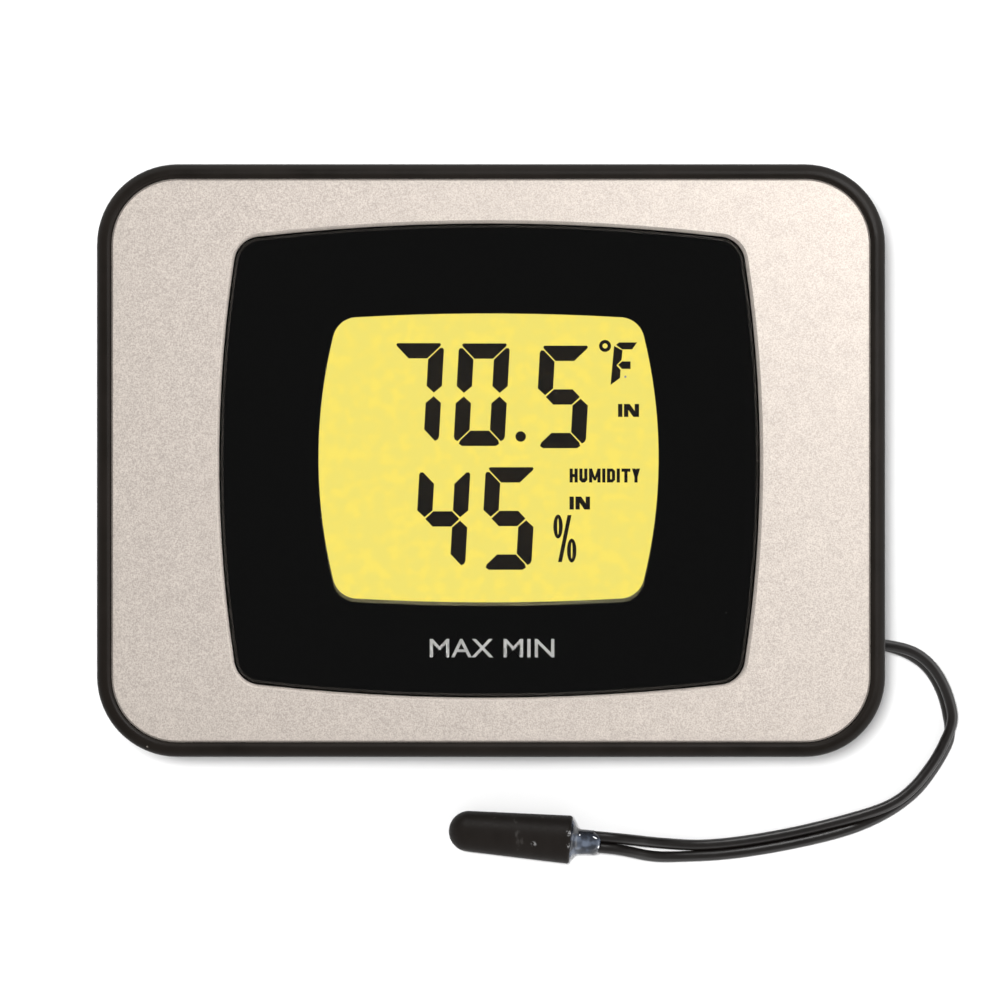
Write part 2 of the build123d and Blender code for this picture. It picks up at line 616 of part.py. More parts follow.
# Black print on the back of the lens. Its window reaches a little lower than the lit display.
MASK_Z = LENS_SEAT_Z + TAPE_THICKNESS
with BuildPart() as lens_mask:
    with BuildSketch(Plane.XY.offset(MASK_Z)):
        with Locations(LENS_CENTRE):
            add(lens_outline(-MASK_INSET))
        with Locations(DISPLAY_CENTRE):
            add(window_outline(), mode=Mode.SUBTRACT)
        with Locations((DISPLAY_CENTRE[0], DISPLAY_CENTRE[1] - MASK_DROP)):
            add(window_outline(), mode=Mode.SUBTRACT)
    extrude(amount=MASK_THICKNESS)
lens_mask.part.label = "lens_mask"
export_step(lens_mask.part, "parts/lens_mask.step")

with BuildPart() as display_lens:
    with BuildSketch(Plane.XY.offset(MASK_Z + MASK_THICKNESS)):
        with Locations(LENS_CENTRE):
            add(lens_outline())
    extrude(amount=LENS_TOP_Z - MASK_Z - MASK_THICKNESS)
    chamfer(display_lens.faces().sort_by(Axis.Z)[-1].edges(), LENS_BEVEL)
display_lens.part.label = "display_lens"
export_step(display_lens.part, "parts/display_lens.step")

# =============================================================================================
# Display stack
# =============================================================================================
# Moulded frame that holds the glass and the light guide on the board, with a thin lip in front.
GLASS_CENTRE_Y = DISPLAY_CENTRE[1] + GLASS_RAISE
CAVITY_WIDTH = GLASS_WIDTH + 2 * GLASS_GAP
CAVITY_TOP_Y = GLASS_CENTRE_Y + GLASS_HEIGHT / 2 + GLASS_GAP
CAVITY_END_Y = GLASS_CENTRE_Y - GLASS_HEIGHT / 2 - GLASS_LEDGE - GLASS_GAP
with BuildPart() as lcd_frame:
    with BuildSketch(Plane.XY.offset(BOARD_FRONT_Z)):
        with Locations((DISPLAY_CENTRE[0], (CAVITY_TOP_Y + CAVITY_END_Y) / 2)):
            RectangleRounded(FRAME_WIDTH, FRAME_HEIGHT, FRAME_CORNER)
    extrude(amount=FRONT_WALL_Z - BOARD_FRONT_Z)
    with BuildSketch(Plane.XY.offset(BOARD_FRONT_Z)):
        with Locations((DISPLAY_CENTRE[0], (CAVITY_TOP_Y + CAVITY_END_Y) / 2)):
            Rectangle(CAVITY_WIDTH, CAVITY_TOP_Y - CAVITY_END_Y)
    extrude(amount=FRONT_WALL_Z - FRAME_LIP - BOARD_FRONT_Z, mode=Mode.SUBTRACT)
    with BuildSketch(Plane.XY.offset(FRONT_WALL_Z - FRAME_LIP)):
        with Locations(DISPLAY_CENTRE):
            add(window_outline(-FRAME_LIP_INSET))
    extrude(amount=FRAME_LIP, mode=Mode.SUBTRACT)
lcd_frame.part.label = "lcd_frame"
export_step(lcd_frame.part, "parts/lcd_frame.step")

# The flat layers, from the board forwards: name, width, height, how far its lower edge is dropped,
# and thickness. The front glass has the ledge that carries the contacts.
display_layers = [
    ("backlight_reflector", FILM_WIDTH, FILM_HEIGHT, 0.0, FILM_THICKNESS),
    ("backlight_guide", FILM_WIDTH, FILM_HEIGHT, 0.0, GUIDE_THICKNESS),
    ("backlight_diffuser", FILM_WIDTH, FILM_HEIGHT, 0.0, FILM_THICKNESS),
    ("lcd_rear_polariser", FILM_WIDTH, FILM_HEIGHT, 0.0, FILM_THICKNESS),
    ("lcd_rear_glass", GLASS_WIDTH, GLASS_HEIGHT, 0.0, GLASS_THICKNESS),
    ("lcd_front_glass", GLASS_WIDTH, GLASS_HEIGHT, GLASS_LEDGE, GLASS_THICKNESS),
    ("lcd_front_polariser", FILM_WIDTH, FILM_HEIGHT, 0.0, FILM_THICKNESS),
]
layer_z = BOARD_FRONT_Z
for layer_name, layer_width, layer_height, drop, thickness in display_layers:
    with BuildPart() as display_layer:
        with BuildSketch(Plane.XY.offset(layer_z)):
            with Locations((DISPLAY_CENTRE[0], GLASS_CENTRE_Y - drop / 2)):
                Rectangle(layer_width, layer_height + drop)
        extrude(amount=thickness)
    display_layer.part.label = layer_name
    export_step(display_layer.part, f"parts/{layer_name}.step")
    layer_z += thickness

# Elastomer strip between the contacts on the board and those on the front glass's ledge.
LEDGE_BACK_Z = BOARD_FRONT_Z + 3 * FILM_THICKNESS + GUIDE_THICKNESS + GLASS_THICKNESS
with BuildPart() as zebra_strip:
    with BuildSketch(Plane.XY.offset(BOARD_FRONT_Z)):
        with Locations((DISPLAY_CENTRE[0], CAVITY_END_Y + GLASS_GAP + GLASS_LEDGE / 2)):
            Rectangle(ZEBRA_LENGTH, ZEBRA_THICKNESS)
    extrude(amount=LEDGE_BACK_Z - BOARD_FRONT_Z)
zebra_strip.part.label = "zebra_strip"
export_step(zebra_strip.part, "parts/zebra_strip.step")

# Side-firing lamps, two at each end of the light guide.
led_x = FILM_WIDTH / 2 + LED_THICKNESS / 2 + LED_GAP
with BuildPart() as backlight_leds:
    with BuildSketch(Plane.XY.offset(BOARD_FRONT_Z)):
        with Locations(DISPLAY_CENTRE):
            with GridLocations(2 * led_x, LED_PITCH, 2, 2):
                Rectangle(LED_THICKNESS, LED_WIDTH)
    extrude(amount=LED_HEIGHT)
backlight_leds.part.label = "backlight_leds"
export_step(backlight_leds.part, "parts/backlight_leds.step")

# =============================================================================================
# Board and what it carries
# =============================================================================================
with BuildPart() as main_board:
    with BuildSketch(Plane.XY.offset(BOARD_BACK_Z)):
        RectangleRounded(BOARD_WIDTH, BOARD_HEIGHT, BOARD_CORNER)
        with Locations(board_corners):
            Circle(BOARD_SCREW_RADIUS + BOARD_SCREW_GAP, mode=Mode.SUBTRACT)
    extrude(amount=BOARD_THICKNESS)
main_board.part.label = "main_board"
export_step(main_board.part, "parts/main_board.step")

with BuildPart() as board_screws:
    with BuildSketch(Plane.XY.offset(BOARD_BACK_Z - BOARD_SCREW_HEAD_HEIGHT)):
        with Locations(board_corners):
            Circle(BOARD_SCREW_HEAD_RADIUS)
    extrude(amount=BOARD_SCREW_HEAD_HEIGHT)
    with BuildSketch(Plane.XY.offset(BOARD_BACK_Z - BOARD_SCREW_HEAD_HEIGHT)):
        with Locations(board_corners):
            Rectangle(BOARD_CROSS_LENGTH, BOARD_CROSS_WIDTH)
            Rectangle(BOARD_CROSS_WIDTH, BOARD_CROSS_LENGTH)
    extrude(amount=BOARD_CROSS_DEPTH, mode=Mode.SUBTRACT)
    with BuildSketch(Plane.XY.offset(BOARD_BACK_Z)):
        with Locations(board_corners):
            Circle(BOARD_SCREW_RADIUS)
    extrude(amount=BOARD_THICKNESS + BOARD_SCREW_GRIP)
board_screws.part.label = "board_screws"
export_step(board_screws.part, "parts/board_screws.step")

# The processor is a bare chip under a low dome of black epoxy.
with BuildPart() as chip_blob:
    with BuildSketch(Plane.XY.offset(BOARD_BACK_Z)):
        with Locations((0, CHIP_Y)):
            Circle(CHIP_RADIUS)
    extrude(amount=-CHIP_HEIGHT)
    fillet(chip_blob.faces().sort_by(Axis.Z)[0].edges(), CHIP_ROUND)
chip_blob.part.label = "chip_blob"
export_step(chip_blob.part, "parts/chip_blob.step")

# Resistors in a row, ceramic capacitors beside the chip.
with BuildPart() as board_components:
    with BuildSketch(Plane.XY.offset(BOARD_BACK_Z)):
        with Locations((0, RESISTOR_Y)):
            with GridLocations(RESISTOR_PITCH, 1.0, RESISTOR_COUNT, 1):
                Rectangle(*RESISTOR_SIZE)
        with Locations((-CAPACITOR_X, CHIP_Y), (CAPACITOR_X, CHIP_Y)):
            with GridLocations(1.0, CAPACITOR_PITCH, 1, CAPACITOR_COUNT):
                Rectangle(*CAPACITOR_SIZE)
    extrude(amount=-COMPONENT_HEIGHT)
board_components.part.label = "board_components"
export_step(board_components.part, "parts/board_components.step")

# Clock crystal: a small can lying beside the chip.
with BuildPart() as quartz_crystal:
    with BuildSketch(Plane.XZ.offset(-CRYSTAL_START_Y)):
        with Locations((CRYSTAL_X, BOARD_BACK_Z - CRYSTAL_RADIUS - FIT_GAP)):
            Circle(CRYSTAL_RADIUS)
    extrude(amount=CRYSTAL_LENGTH)
quartz_crystal.part.label = "quartz_crystal"
export_step(quartz_crystal.part, "parts/quartz_crystal.step")

# Vented humidity sensor behind the grille.
sensor_place = (SENSOR_X, VENT_Y + SENSOR_ABOVE_VENTS)
with BuildPart() as humidity_sensor:
    with BuildSketch(Plane.XY.offset(BOARD_BACK_Z)):
        with Locations(sensor_place):
            Rectangle(*SENSOR_SIZE)
    extrude(amount=-SENSOR_HEIGHT)
    with BuildSketch(Plane.XY.offset(BOARD_BACK_Z - SENSOR_HEIGHT)):
        with Locations(sensor_place):
            with GridLocations(SENSOR_HOLE_PITCH, SENSOR_HOLE_PITCH, 4, 3):
                Circle(SENSOR_HOLE_RADIUS)
    extrude(amount=SENSOR_HOLE_DEPTH, mode=Mode.SUBTRACT)
humidity_sensor.part.label = "humidity_sensor"
export_step(humidity_sensor.part, "parts/humidity_sensor.step")

# Indoor thermistor: a dipped bead on two stiff legs.
room_bead_top = BOARD_BACK_Z - ROOM_BEAD_DROP + ROOM_BEAD_RADIUS
room_bead_place = (SENSOR_X, VENT_Y - ROOM_BEAD_BELOW_VENTS)
room_bead_axis = Axis((*room_bead_place, room_bead_top), (0, 0, 1))
with BuildPart() as room_thermistor:
    with BuildSketch(Plane(origin=room_bead_axis.position, x_dir=(1, 0, 0), z_dir=(0, -1, 0))):
        with BuildLine():
            Line((0, 0), (0, -2 * ROOM_BEAD_RADIUS))
            ThreePointArc(
                (0, -2 * ROOM_BEAD_RADIUS), (ROOM_BEAD_RADIUS, -ROOM_BEAD_RADIUS), (0, 0)
            )
        make_face()
    revolve(axis=room_bead_axis)
    with BuildSketch(Plane.XY.offset(room_bead_top - ROOM_LEG_OVERLAP)):
        with Locations(room_bead_place):
            with GridLocations(ROOM_LEG_PITCH, 1.0, 2, 1):
                Circle(ROOM_LEG_RADIUS)
    extrude(amount=BOARD_BACK_Z - room_bead_top + ROOM_LEG_OVERLAP)
room_thermistor.part.label = "room_thermistor"
export_step(room_thermistor.part, "parts/room_thermistor.step")

# =============================================================================================
# Controls on the back
# =============================================================================================
# Bodies of the four push switches, each with a well for its plunger.
with BuildPart() as tact_switches:
    with BuildSketch(Plane.XY.offset(SWITCH_BODY_Z)):
        with Locations(button_places):
            Rectangle(SWITCH_SIZE, SWITCH_SIZE)
    extrude(amount=BOARD_BACK_Z - SWITCH_BODY_Z)
    with BuildSketch(Plane.XY.offset(SWITCH_BODY_Z)):
        with Locations(button_places):
            Circle(PLUNGER_RADIUS + PLUNGER_GAP)
    extrude(amount=SWITCH_WELL_DEPTH, mode=Mode.SUBTRACT)
tact_switches.part.label = "tact_switches"
export_step(tact_switches.part, "parts/tact_switches.step")

stem_z = BUTTON_FLANGE_Z + BUTTON_FLANGE_THICKNESS
finger_ball_z = BUTTON_OUTER_Z + FINGER_DISH_DEPTH - FINGER_BALL_RADIUS
for button_name, button_y in BUTTONS.items():
    # The cap, dished for a fingertip, with the flange that keeps it in the case and its stem.
    with BuildPart() as button:
        with BuildSketch(Plane.XY.offset(BUTTON_OUTER_Z)):
            with Locations((BUTTON_X, button_y)):
                Circle(BUTTON_RADIUS)
        extrude(amount=BUTTON_FLANGE_Z - BUTTON_OUTER_Z)
        fillet(button.faces().sort_by(Axis.Z)[0].edges(), BUTTON_EDGE_ROUND)
        with BuildSketch(Plane.XY.offset(BUTTON_FLANGE_Z)):
            with Locations((BUTTON_X, button_y)):
                Circle(BUTTON_FLANGE_RADIUS)
        extrude(amount=BUTTON_FLANGE_THICKNESS)
        with BuildSketch(Plane.XY.offset(stem_z)):
            with Locations((BUTTON_X, button_y)):
                Circle(BUTTON_STEM_RADIUS)
        extrude(amount=PLUNGER_Z - stem_z)
        with Locations((BUTTON_X, button_y, finger_ball_z)):
            Sphere(FINGER_BALL_RADIUS, mode=Mode.SUBTRACT)
    button.part.label = f"{button_name}_button"
    export_step(button.part, f"parts/{button_name}_button.step")

    with BuildPart() as plunger:
        with BuildSketch(Plane.XY.offset(PLUNGER_Z)):
            with Locations((BUTTON_X, button_y)):
                Circle(PLUNGER_RADIUS)
        extrude(amount=SWITCH_BODY_Z + PLUNGER_SINK - PLUNGER_Z)
    plunger.part.label = f"{button_name}_plunger"
    export_step(plunger.part, f"parts/{button_name}_plunger.step")

# Slide switch that chooses degrees F or C. Its knob rests at the F end, nearer the middle.
with BuildPart() as unit_switch_body:
    with BuildSketch(Plane.XY.offset(SLIDER_BODY_Z)):
        with Locations(SLIDER_CENTRE):
            Rectangle(*SLIDER_BODY)
    extrude(amount=BOARD_BACK_Z - SLIDER_BODY_Z)
    with BuildSketch(Plane.XY.offset(SLIDER_BODY_Z)):
        with Locations(SLIDER_CENTRE):
            Rectangle(
                SLIDER_STEM[0] + SLIDER_TRAVEL + SLIDER_WELL_ROOM, SLIDER_STEM[1] + SLIDER_WELL_ROOM
            )
    extrude(amount=SLIDER_WELL_DEPTH, mode=Mode.SUBTRACT)
unit_switch_body.part.label = "unit_switch_body"
export_step(unit_switch_body.part, "parts/unit_switch_body.step")

knob_place = (SLIDER_CENTRE[0] - SLIDER_TRAVEL / 2, SLIDER_CENTRE[1])
with BuildPart() as unit_slider:
    with BuildSketch(Plane.XY.offset(BUTTON_OUTER_Z)):
        with Locations(knob_place):
            RectangleRounded(*SLIDER_KNOB, SLIDER_KNOB_CORNER)
    extrude(amount=SLIDER_KNOB_DEPTH)
    with BuildSketch(Plane.XY.offset(BUTTON_OUTER_Z)):
        with Locations(knob_place):
            with GridLocations(SLIDER_GROOVE_PITCH, 1.0, 3, 1):
                Rectangle(SLIDER_GROOVE_WIDTH, SLIDER_KNOB[1])
    extrude(amount=SLIDER_GROOVE_WIDTH, mode=Mode.SUBTRACT)
    with BuildSketch(Plane.XY.offset(BUTTON_OUTER_Z + SLIDER_KNOB_DEPTH)):
        with Locations(knob_place):
            Rectangle(*SLIDER_STEM)
    extrude(amount=SLIDER_BODY_Z + SLIDER_SINK - BUTTON_OUTER_Z - SLIDER_KNOB_DEPTH)
unit_slider.part.label = "unit_slider"
export_step(unit_slider.part, "parts/unit_slider.step")

# =============================================================================================
# Batteries, contacts and door
# =============================================================================================
CELL_END_X = BAY_LENGTH / 2 - CONTACT_THICKNESS     # where a cell's nub meets its contact
SPRING_LENGTH = 2 * CELL_END_X - CELL_LENGTH
cells = {
    "battery_upper": (BAY_CENTRE_Y + CELL_PITCH / 2, 1),
    "battery_lower": (BAY_CENTRE_Y - CELL_PITCH / 2, -1),
}
for cell_name, (cell_y, facing) in cells.items():
    # Each cell points its nub towards facing times +X.
    base = Plane(
        origin=(facing * (CELL_END_X - CELL_LENGTH), cell_y, CELL_Z),
        x_dir=(0, 1, 0),
        z_dir=(facing, 0, 0),
    )
    with BuildPart() as cell:
        with BuildSketch(base):
            Circle(CELL_DIAMETER / 2)
        extrude(amount=CELL_LENGTH - CELL_NUB_HEIGHT)
        fillet(cell.edges().filter_by(GeomType.CIRCLE), CELL_EDGE_ROUND)
        with BuildSketch(base.offset(CELL_LENGTH - CELL_NUB_HEIGHT)):
            Circle(CELL_NUB_RADIUS)
        extrude(amount=CELL_NUB_HEIGHT)
    cell.part.label = cell_name
    export_step(cell.part, f"parts/{cell_name}.step")


def contact_face(side, plate_y, width):
    """The outline of a contact plate against the bay's end wall on the given side."""
    with BuildSketch(Plane.YZ.offset(side * BAY_LENGTH / 2)) as face:
        with Locations((plate_y, CELL_Z)):
            RectangleRounded(width, CONTACT_WIDTH, CONTACT_CORNER)
    return face.sketch


def tab_face(tab_y):
    """The strip that rises from a left-hand contact through the bay's roof to the board."""
    with BuildSketch(Plane.YZ.offset(-BAY_LENGTH / 2)) as face:
        with Locations((tab_y, (CELL_Z + BOARD_BACK_Z) / 2)):
            Rectangle(TAB_WIDTH, BOARD_BACK_Z - CELL_Z)
    return face.sketch


def spring_profile(side, spring_y):
    """Half the section of a conical spring's envelope, from the contact to the cell's flat end."""
    start = (side * CELL_END_X, spring_y, CELL_Z)
    with BuildSketch(Plane(origin=start, x_dir=(0, 1, 0), z_dir=(0, 0, side))) as profile:
        with BuildLine():
            Polyline(
                (SPRING_BASE_RADIUS - SPRING_THICKNESS, 0),
                (SPRING_BASE_RADIUS, 0),
                (SPRING_END_RADIUS, SPRING_LENGTH),
                (SPRING_END_RADIUS - SPRING_THICKNESS, SPRING_LENGTH),
                close=True,
            )
        make_face()
    return profile.sketch


def cell_axis(side, cell_y):
    """The line through a cell's centre."""
    return Axis((side * CELL_END_X, cell_y, CELL_Z), (1, 0, 0))


upper_y = cells["battery_upper"][0]
lower_y = cells["battery_lower"][0]
with BuildPart() as negative_contact:
    extrude(contact_face(-1, upper_y, CONTACT_WIDTH), amount=CONTACT_THICKNESS)
    extrude(tab_face(upper_y), amount=CONTACT_THICKNESS)
    revolve(spring_profile(-1, upper_y), axis=cell_axis(-1, upper_y))
negative_contact.part.label = "negative_contact"
export_step(negative_contact.part, "parts/negative_contact.step")

with BuildPart() as positive_contact:
    extrude(contact_face(-1, lower_y, CONTACT_WIDTH), amount=CONTACT_THICKNESS)
    extrude(tab_face(lower_y), amount=CONTACT_THICKNESS)
positive_contact.part.label = "positive_contact"
export_step(positive_contact.part, "parts/positive_contact.step")

with BuildPart() as bridge_contact:
    extrude(contact_face(1, BAY_CENTRE_Y, CELL_PITCH + CONTACT_WIDTH), amount=-CONTACT_THICKNESS)
    revolve(spring_profile(1, lower_y), axis=cell_axis(1, lower_y))
bridge_contact.part.label = "bridge_contact"
export_step(bridge_contact.part, "parts/bridge_contact.step")

# The door turns on two pins at its top edge, which is rounded about their axis.
with BuildPart() as battery_door:
    with BuildSketch(Plane.XY.offset(DOOR_OUTER_Z)):
        with Locations((0, BAY_CENTRE_Y - DOOR_THICKNESS / 4)):
            Rectangle(DOOR_LENGTH, DOOR_WIDTH - DOOR_THICKNESS / 2)
    extrude(amount=DOOR_THICKNESS)
    with BuildSketch(Plane.YZ.offset(-DOOR_LENGTH / 2)):
        with Locations((DOOR_AXIS_Y, DOOR_AXIS_Z)):
            Circle(DOOR_THICKNESS / 2)
    extrude(amount=DOOR_LENGTH)
    with BuildSketch(Plane.YZ.offset(-DOOR_LENGTH / 2 - DOOR_PIN_LENGTH)):
        with Locations((DOOR_AXIS_Y, DOOR_AXIS_Z)):
            Circle(DOOR_PIN_RADIUS)
    extrude(amount=DOOR_LENGTH + 2 * DOOR_PIN_LENGTH)
    # Grip ribs sunk into the outer face beside the fingernail notch.
    with BuildSketch(Plane.XY.offset(DOOR_OUTER_Z)):
        with Locations((0, BAY_CENTRE_Y - DOOR_WIDTH / 2 + DOOR_RIB_FROM_EDGE)):
            with GridLocations(1.0, DOOR_RIB_PITCH, 1, DOOR_RIB_COUNT):
                SlotOverall(DOOR_RIB_LENGTH, DOOR_RIB_WIDTH)
    extrude(amount=DOOR_RIB_DEPTH, mode=Mode.SUBTRACT)
battery_door.part.label = "battery_door"
export_step(battery_door.part, "parts/battery_door.step")

# =============================================================================================
# Folding stand
# =============================================================================================
stand_foot_y = STAND_AXIS_Y - STAND_REACH
stand_heel_y = STAND_AXIS_Y + STAND_HEEL
with BuildPart() as stand:
    with BuildSketch(Plane.XY.offset(STAND_OUTER_Z)):
        with Locations((0, (stand_heel_y + stand_foot_y) / 2)):
            Rectangle(STAND_WIDTH, stand_heel_y - stand_foot_y)
        with Locations((0, stand_foot_y)):
            Circle(NAIL_SCOOP_RADIUS, mode=Mode.SUBTRACT)
    extrude(amount=STAND_THICKNESS)
    fillet(stand.edges().filter_by(Axis.X).group_by(Axis.Y)[0], STAND_FOOT_ROUND)
    with BuildSketch(Plane.YZ.offset(-STAND_WIDTH / 2 - STAND_PIN_LENGTH)):
        with Locations((STAND_AXIS_Y, STAND_AXIS_Z)):
            Circle(STAND_PIN_RADIUS)
    extrude(amount=STAND_WIDTH + 2 * STAND_PIN_LENGTH)
    # Sunk panel in the outer face.
    with BuildSketch(Plane.XY.offset(STAND_OUTER_Z)):
        with Locations((0, STAND_AXIS_Y - STAND_PANEL_FROM_AXIS)):
            RectangleRounded(STAND_PANEL_WIDTH, STAND_PANEL_HEIGHT, STAND_PANEL_CORNER)
    extrude(amount=STAND_PANEL_DEPTH, mode=Mode.SUBTRACT)
stand.part.label = "stand"
export_step(stand.part, "parts/stand.step")

# =============================================================================================
# Probe, its cord and the gland
# =============================================================================================
gland_axis = Axis((GLAND_X, CORD_ROUTE[0][1], CORD_ROUTE[0][2]), (1, 0, 0))
gland_plane = Plane(origin=gland_axis.position, x_dir=(1, 0, 0), z_dir=(0, 0, 1))
flange_run = GLAND_FLANGE_X - GLAND_X
collar_run = GLAND_COLLAR_X - GLAND_X
gland_run = CORD_ROUTE[0][0] - GLAND_X
with BuildPart() as cord_gland:
    with BuildSketch(gland_plane):
        with BuildLine():
            Polyline(
                (0, 0),
                (0, GLAND_FLANGE_RADIUS),
                (flange_run, GLAND_FLANGE_RADIUS),
                (flange_run, GLAND_NECK_RADIUS),
                (collar_run, GLAND_NECK_RADIUS),
                (collar_run, GLAND_COLLAR_RADIUS),
                (gland_run, GLAND_TIP_RADIUS),
                (gland_run, 0),
                close=True,
            )
        make_face()
    revolve(axis=gland_axis)
cord_gland.part.label = "cord_gland"
export_step(cord_gland.part, "parts/cord_gland.step")


def cord_section(points):
    """The cord's round section across the start of a route."""
    start = Vector(*points[0])
    with BuildSketch(Plane(origin=start, z_dir=Vector(*points[1]) - start)) as section:
        Circle(CORD_DIAMETER / 2)
    return section.sketch


cord_radii = fillet_radii(CORD_ROUTE)
with BuildPart() as probe_cord:
    with BuildLine() as cord_line:
        FilletPolyline(*CORD_ROUTE, radius=cord_radii)
    sweep(cord_section(CORD_ROUTE), path=cord_line.wires()[0])
probe_cord.part.label = "probe_cord"
export_step(probe_cord.part, "parts/probe_cord.step")
cord_length = cord_line.wires()[0].length
section_area = pi * CORD_DIAMETER**2 / 4
print("cord radii", [round(radius, 1) for radius in cord_radii])
print(f"cord length {cord_length:.1f}, volume {probe_cord.part.volume:.1f}")
print(f"section times length {section_area * cord_length:.1f}")

# The same lead inside the case, from the gland to the back of the board.
INNER_ROUTE = [
    (GLAND_X, CORD_ROUTE[0][1], CORD_ROUTE[0][2]),
    (43.0, CORD_ROUTE[0][1], CORD_ROUTE[0][2]),
    (37.0, -21.0, 5.6),
    (33.0, -18.5, 8.5),
    (33.0, -18.5, BOARD_BACK_Z),
]
with BuildPart() as inner_lead:
    with BuildLine() as inner_line:
        FilletPolyline(*INNER_ROUTE, radius=fillet_radii(INNER_ROUTE))
    sweep(cord_section(INNER_ROUTE), path=inner_line.wires()[0])
inner_lead.part.label = "inner_lead"
export_step(inner_lead.part, "parts/inner_lead.step")

# The probe lies on the surface, in line with the cord's last run.
cord_end = Vector(*CORD_ROUTE[-1])
towards_tip = (cord_end - Vector(*CORD_ROUTE[-2])).normalized()
probe_mouth = cord_end + towards_tip * PROBE_NECK
probe_axis = Axis(probe_mouth, towards_tip)
probe_plane = Plane(origin=probe_mouth, x_dir=towards_tip, z_dir=towards_tip.cross(Vector(0, 1, 0)))
dome_x = PROBE_LENGTH - PROBE_TIP_RADIUS
inner_tip_radius = PROBE_TIP_RADIUS - PROBE_WALL
inner_mouth_radius = PROBE_MOUTH_RADIUS - PROBE_WALL
bead_x = PROBE_LENGTH - BEAD_FROM_TIP


def bullet_profile(mouth_radius, tip_radius):
    """Half the section of a slight cone on the probe's axis, from its mouth to a half ball."""
    on_dome = tip_radius * sin(radians(45))
    with BuildSketch(probe_plane) as profile:
        with BuildLine():
            Polyline((dome_x + tip_radius, 0), (0, 0), (0, mouth_radius), (dome_x, tip_radius))
            ThreePointArc(
                (dome_x, tip_radius), (dome_x + on_dome, on_dome), (dome_x + tip_radius, 0)
            )
        make_face()
    return profile.sketch


def sensing_bead(gap):
    """The thermistor: a ball at the end of the sleeve on its legs, grown by a gap."""
    ball = BEAD_RADIUS + gap
    sleeve = BEAD_LEG_RADIUS + gap
    sleeve_meets_ball = bead_x - (ball**2 - sleeve**2) ** 0.5
    sleeve_end = bead_x - BEAD_LEG_LENGTH - gap
    with BuildPart() as bead:
        with BuildSketch(probe_plane):
            with BuildLine():
                Polyline(
                    (bead_x + ball, 0), (sleeve_end, 0), (sleeve_end, sleeve), (sleeve_meets_ball, sleeve)
                )
                ThreePointArc((sleeve_meets_ball, sleeve), (bead_x, ball), (bead_x + ball, 0))
            make_face()
        revolve(axis=probe_axis)
    return bead.part


with BuildPart() as probe_cap:
    revolve(bullet_profile(PROBE_MOUTH_RADIUS, PROBE_TIP_RADIUS), axis=probe_axis)
    revolve(bullet_profile(inner_mouth_radius, inner_tip_radius), axis=probe_axis, mode=Mode.SUBTRACT)
    mouth_edge = probe_cap.edges().filter_by(GeomType.CIRCLE).sort_by(SortBy.RADIUS)[-1]
    fillet(mouth_edge, PROBE_MOUTH_ROUND)
probe_cap.part.label = "probe_cap"
export_step(probe_cap.part, "parts/probe_cap.step")

# Clear glue that fills the cap and stands out of its mouth round the end of the cord.
bead_space = sensing_bead(PROBE_FILL_GAP)
with BuildPart() as probe_potting:
    revolve(
        bullet_profile(inner_mouth_radius - PROBE_FILL_GAP, inner_tip_radius - PROBE_FILL_GAP),
        axis=probe_axis,
    )
    with BuildSketch(Plane(origin=probe_mouth, z_dir=-towards_tip)):
        Circle(PROBE_NECK_RADIUS)
    extrude(amount=PROBE_NECK)
    add(bead_space, mode=Mode.SUBTRACT)
probe_potting.part.label = "probe_potting"
export_step(probe_potting.part, "parts/probe_potting.step")

probe_thermistor = sensing_bead(0.0)
probe_thermistor.label = "probe_thermistor"
export_step(probe_thermistor, "parts/probe_thermistor.step")
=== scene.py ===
import math

import bmesh
import bpy
from mathutils import Matrix, Vector, noise


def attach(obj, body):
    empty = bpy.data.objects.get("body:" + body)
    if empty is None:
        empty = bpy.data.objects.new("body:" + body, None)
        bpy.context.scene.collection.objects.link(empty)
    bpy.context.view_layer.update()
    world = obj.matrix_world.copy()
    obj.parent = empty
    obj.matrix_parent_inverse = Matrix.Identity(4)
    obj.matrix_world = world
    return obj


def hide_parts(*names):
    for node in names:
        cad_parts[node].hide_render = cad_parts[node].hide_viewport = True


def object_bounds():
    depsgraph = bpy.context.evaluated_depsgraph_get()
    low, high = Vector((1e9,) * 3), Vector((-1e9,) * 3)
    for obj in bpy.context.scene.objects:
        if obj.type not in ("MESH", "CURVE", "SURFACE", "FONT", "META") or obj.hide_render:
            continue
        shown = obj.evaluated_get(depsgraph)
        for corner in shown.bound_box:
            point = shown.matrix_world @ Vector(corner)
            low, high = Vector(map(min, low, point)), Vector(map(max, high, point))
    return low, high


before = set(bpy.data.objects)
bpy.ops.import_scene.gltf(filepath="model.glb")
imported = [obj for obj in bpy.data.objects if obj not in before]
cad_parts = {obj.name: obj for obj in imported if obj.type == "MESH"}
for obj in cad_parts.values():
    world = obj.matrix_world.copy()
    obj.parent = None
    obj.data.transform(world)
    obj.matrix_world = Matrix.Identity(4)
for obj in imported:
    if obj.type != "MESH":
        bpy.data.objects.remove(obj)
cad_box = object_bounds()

# The maximum minimum thermometer lying on its back, seen straight from above. Lengths are in
# metres, and the frame is the CAD's: +Z comes out of the display and +Y is its top edge.

MM = 0.001

# ---- Camera ---------------------------------------------------------------------------------
CAMERA_PLACE = (0.00134, -0.00564, 0.925)
FACE_Z = 0.025
VIEW_WIDTH = 0.1412             # how much the picture takes in at the height of the face
SENSOR = 36.0

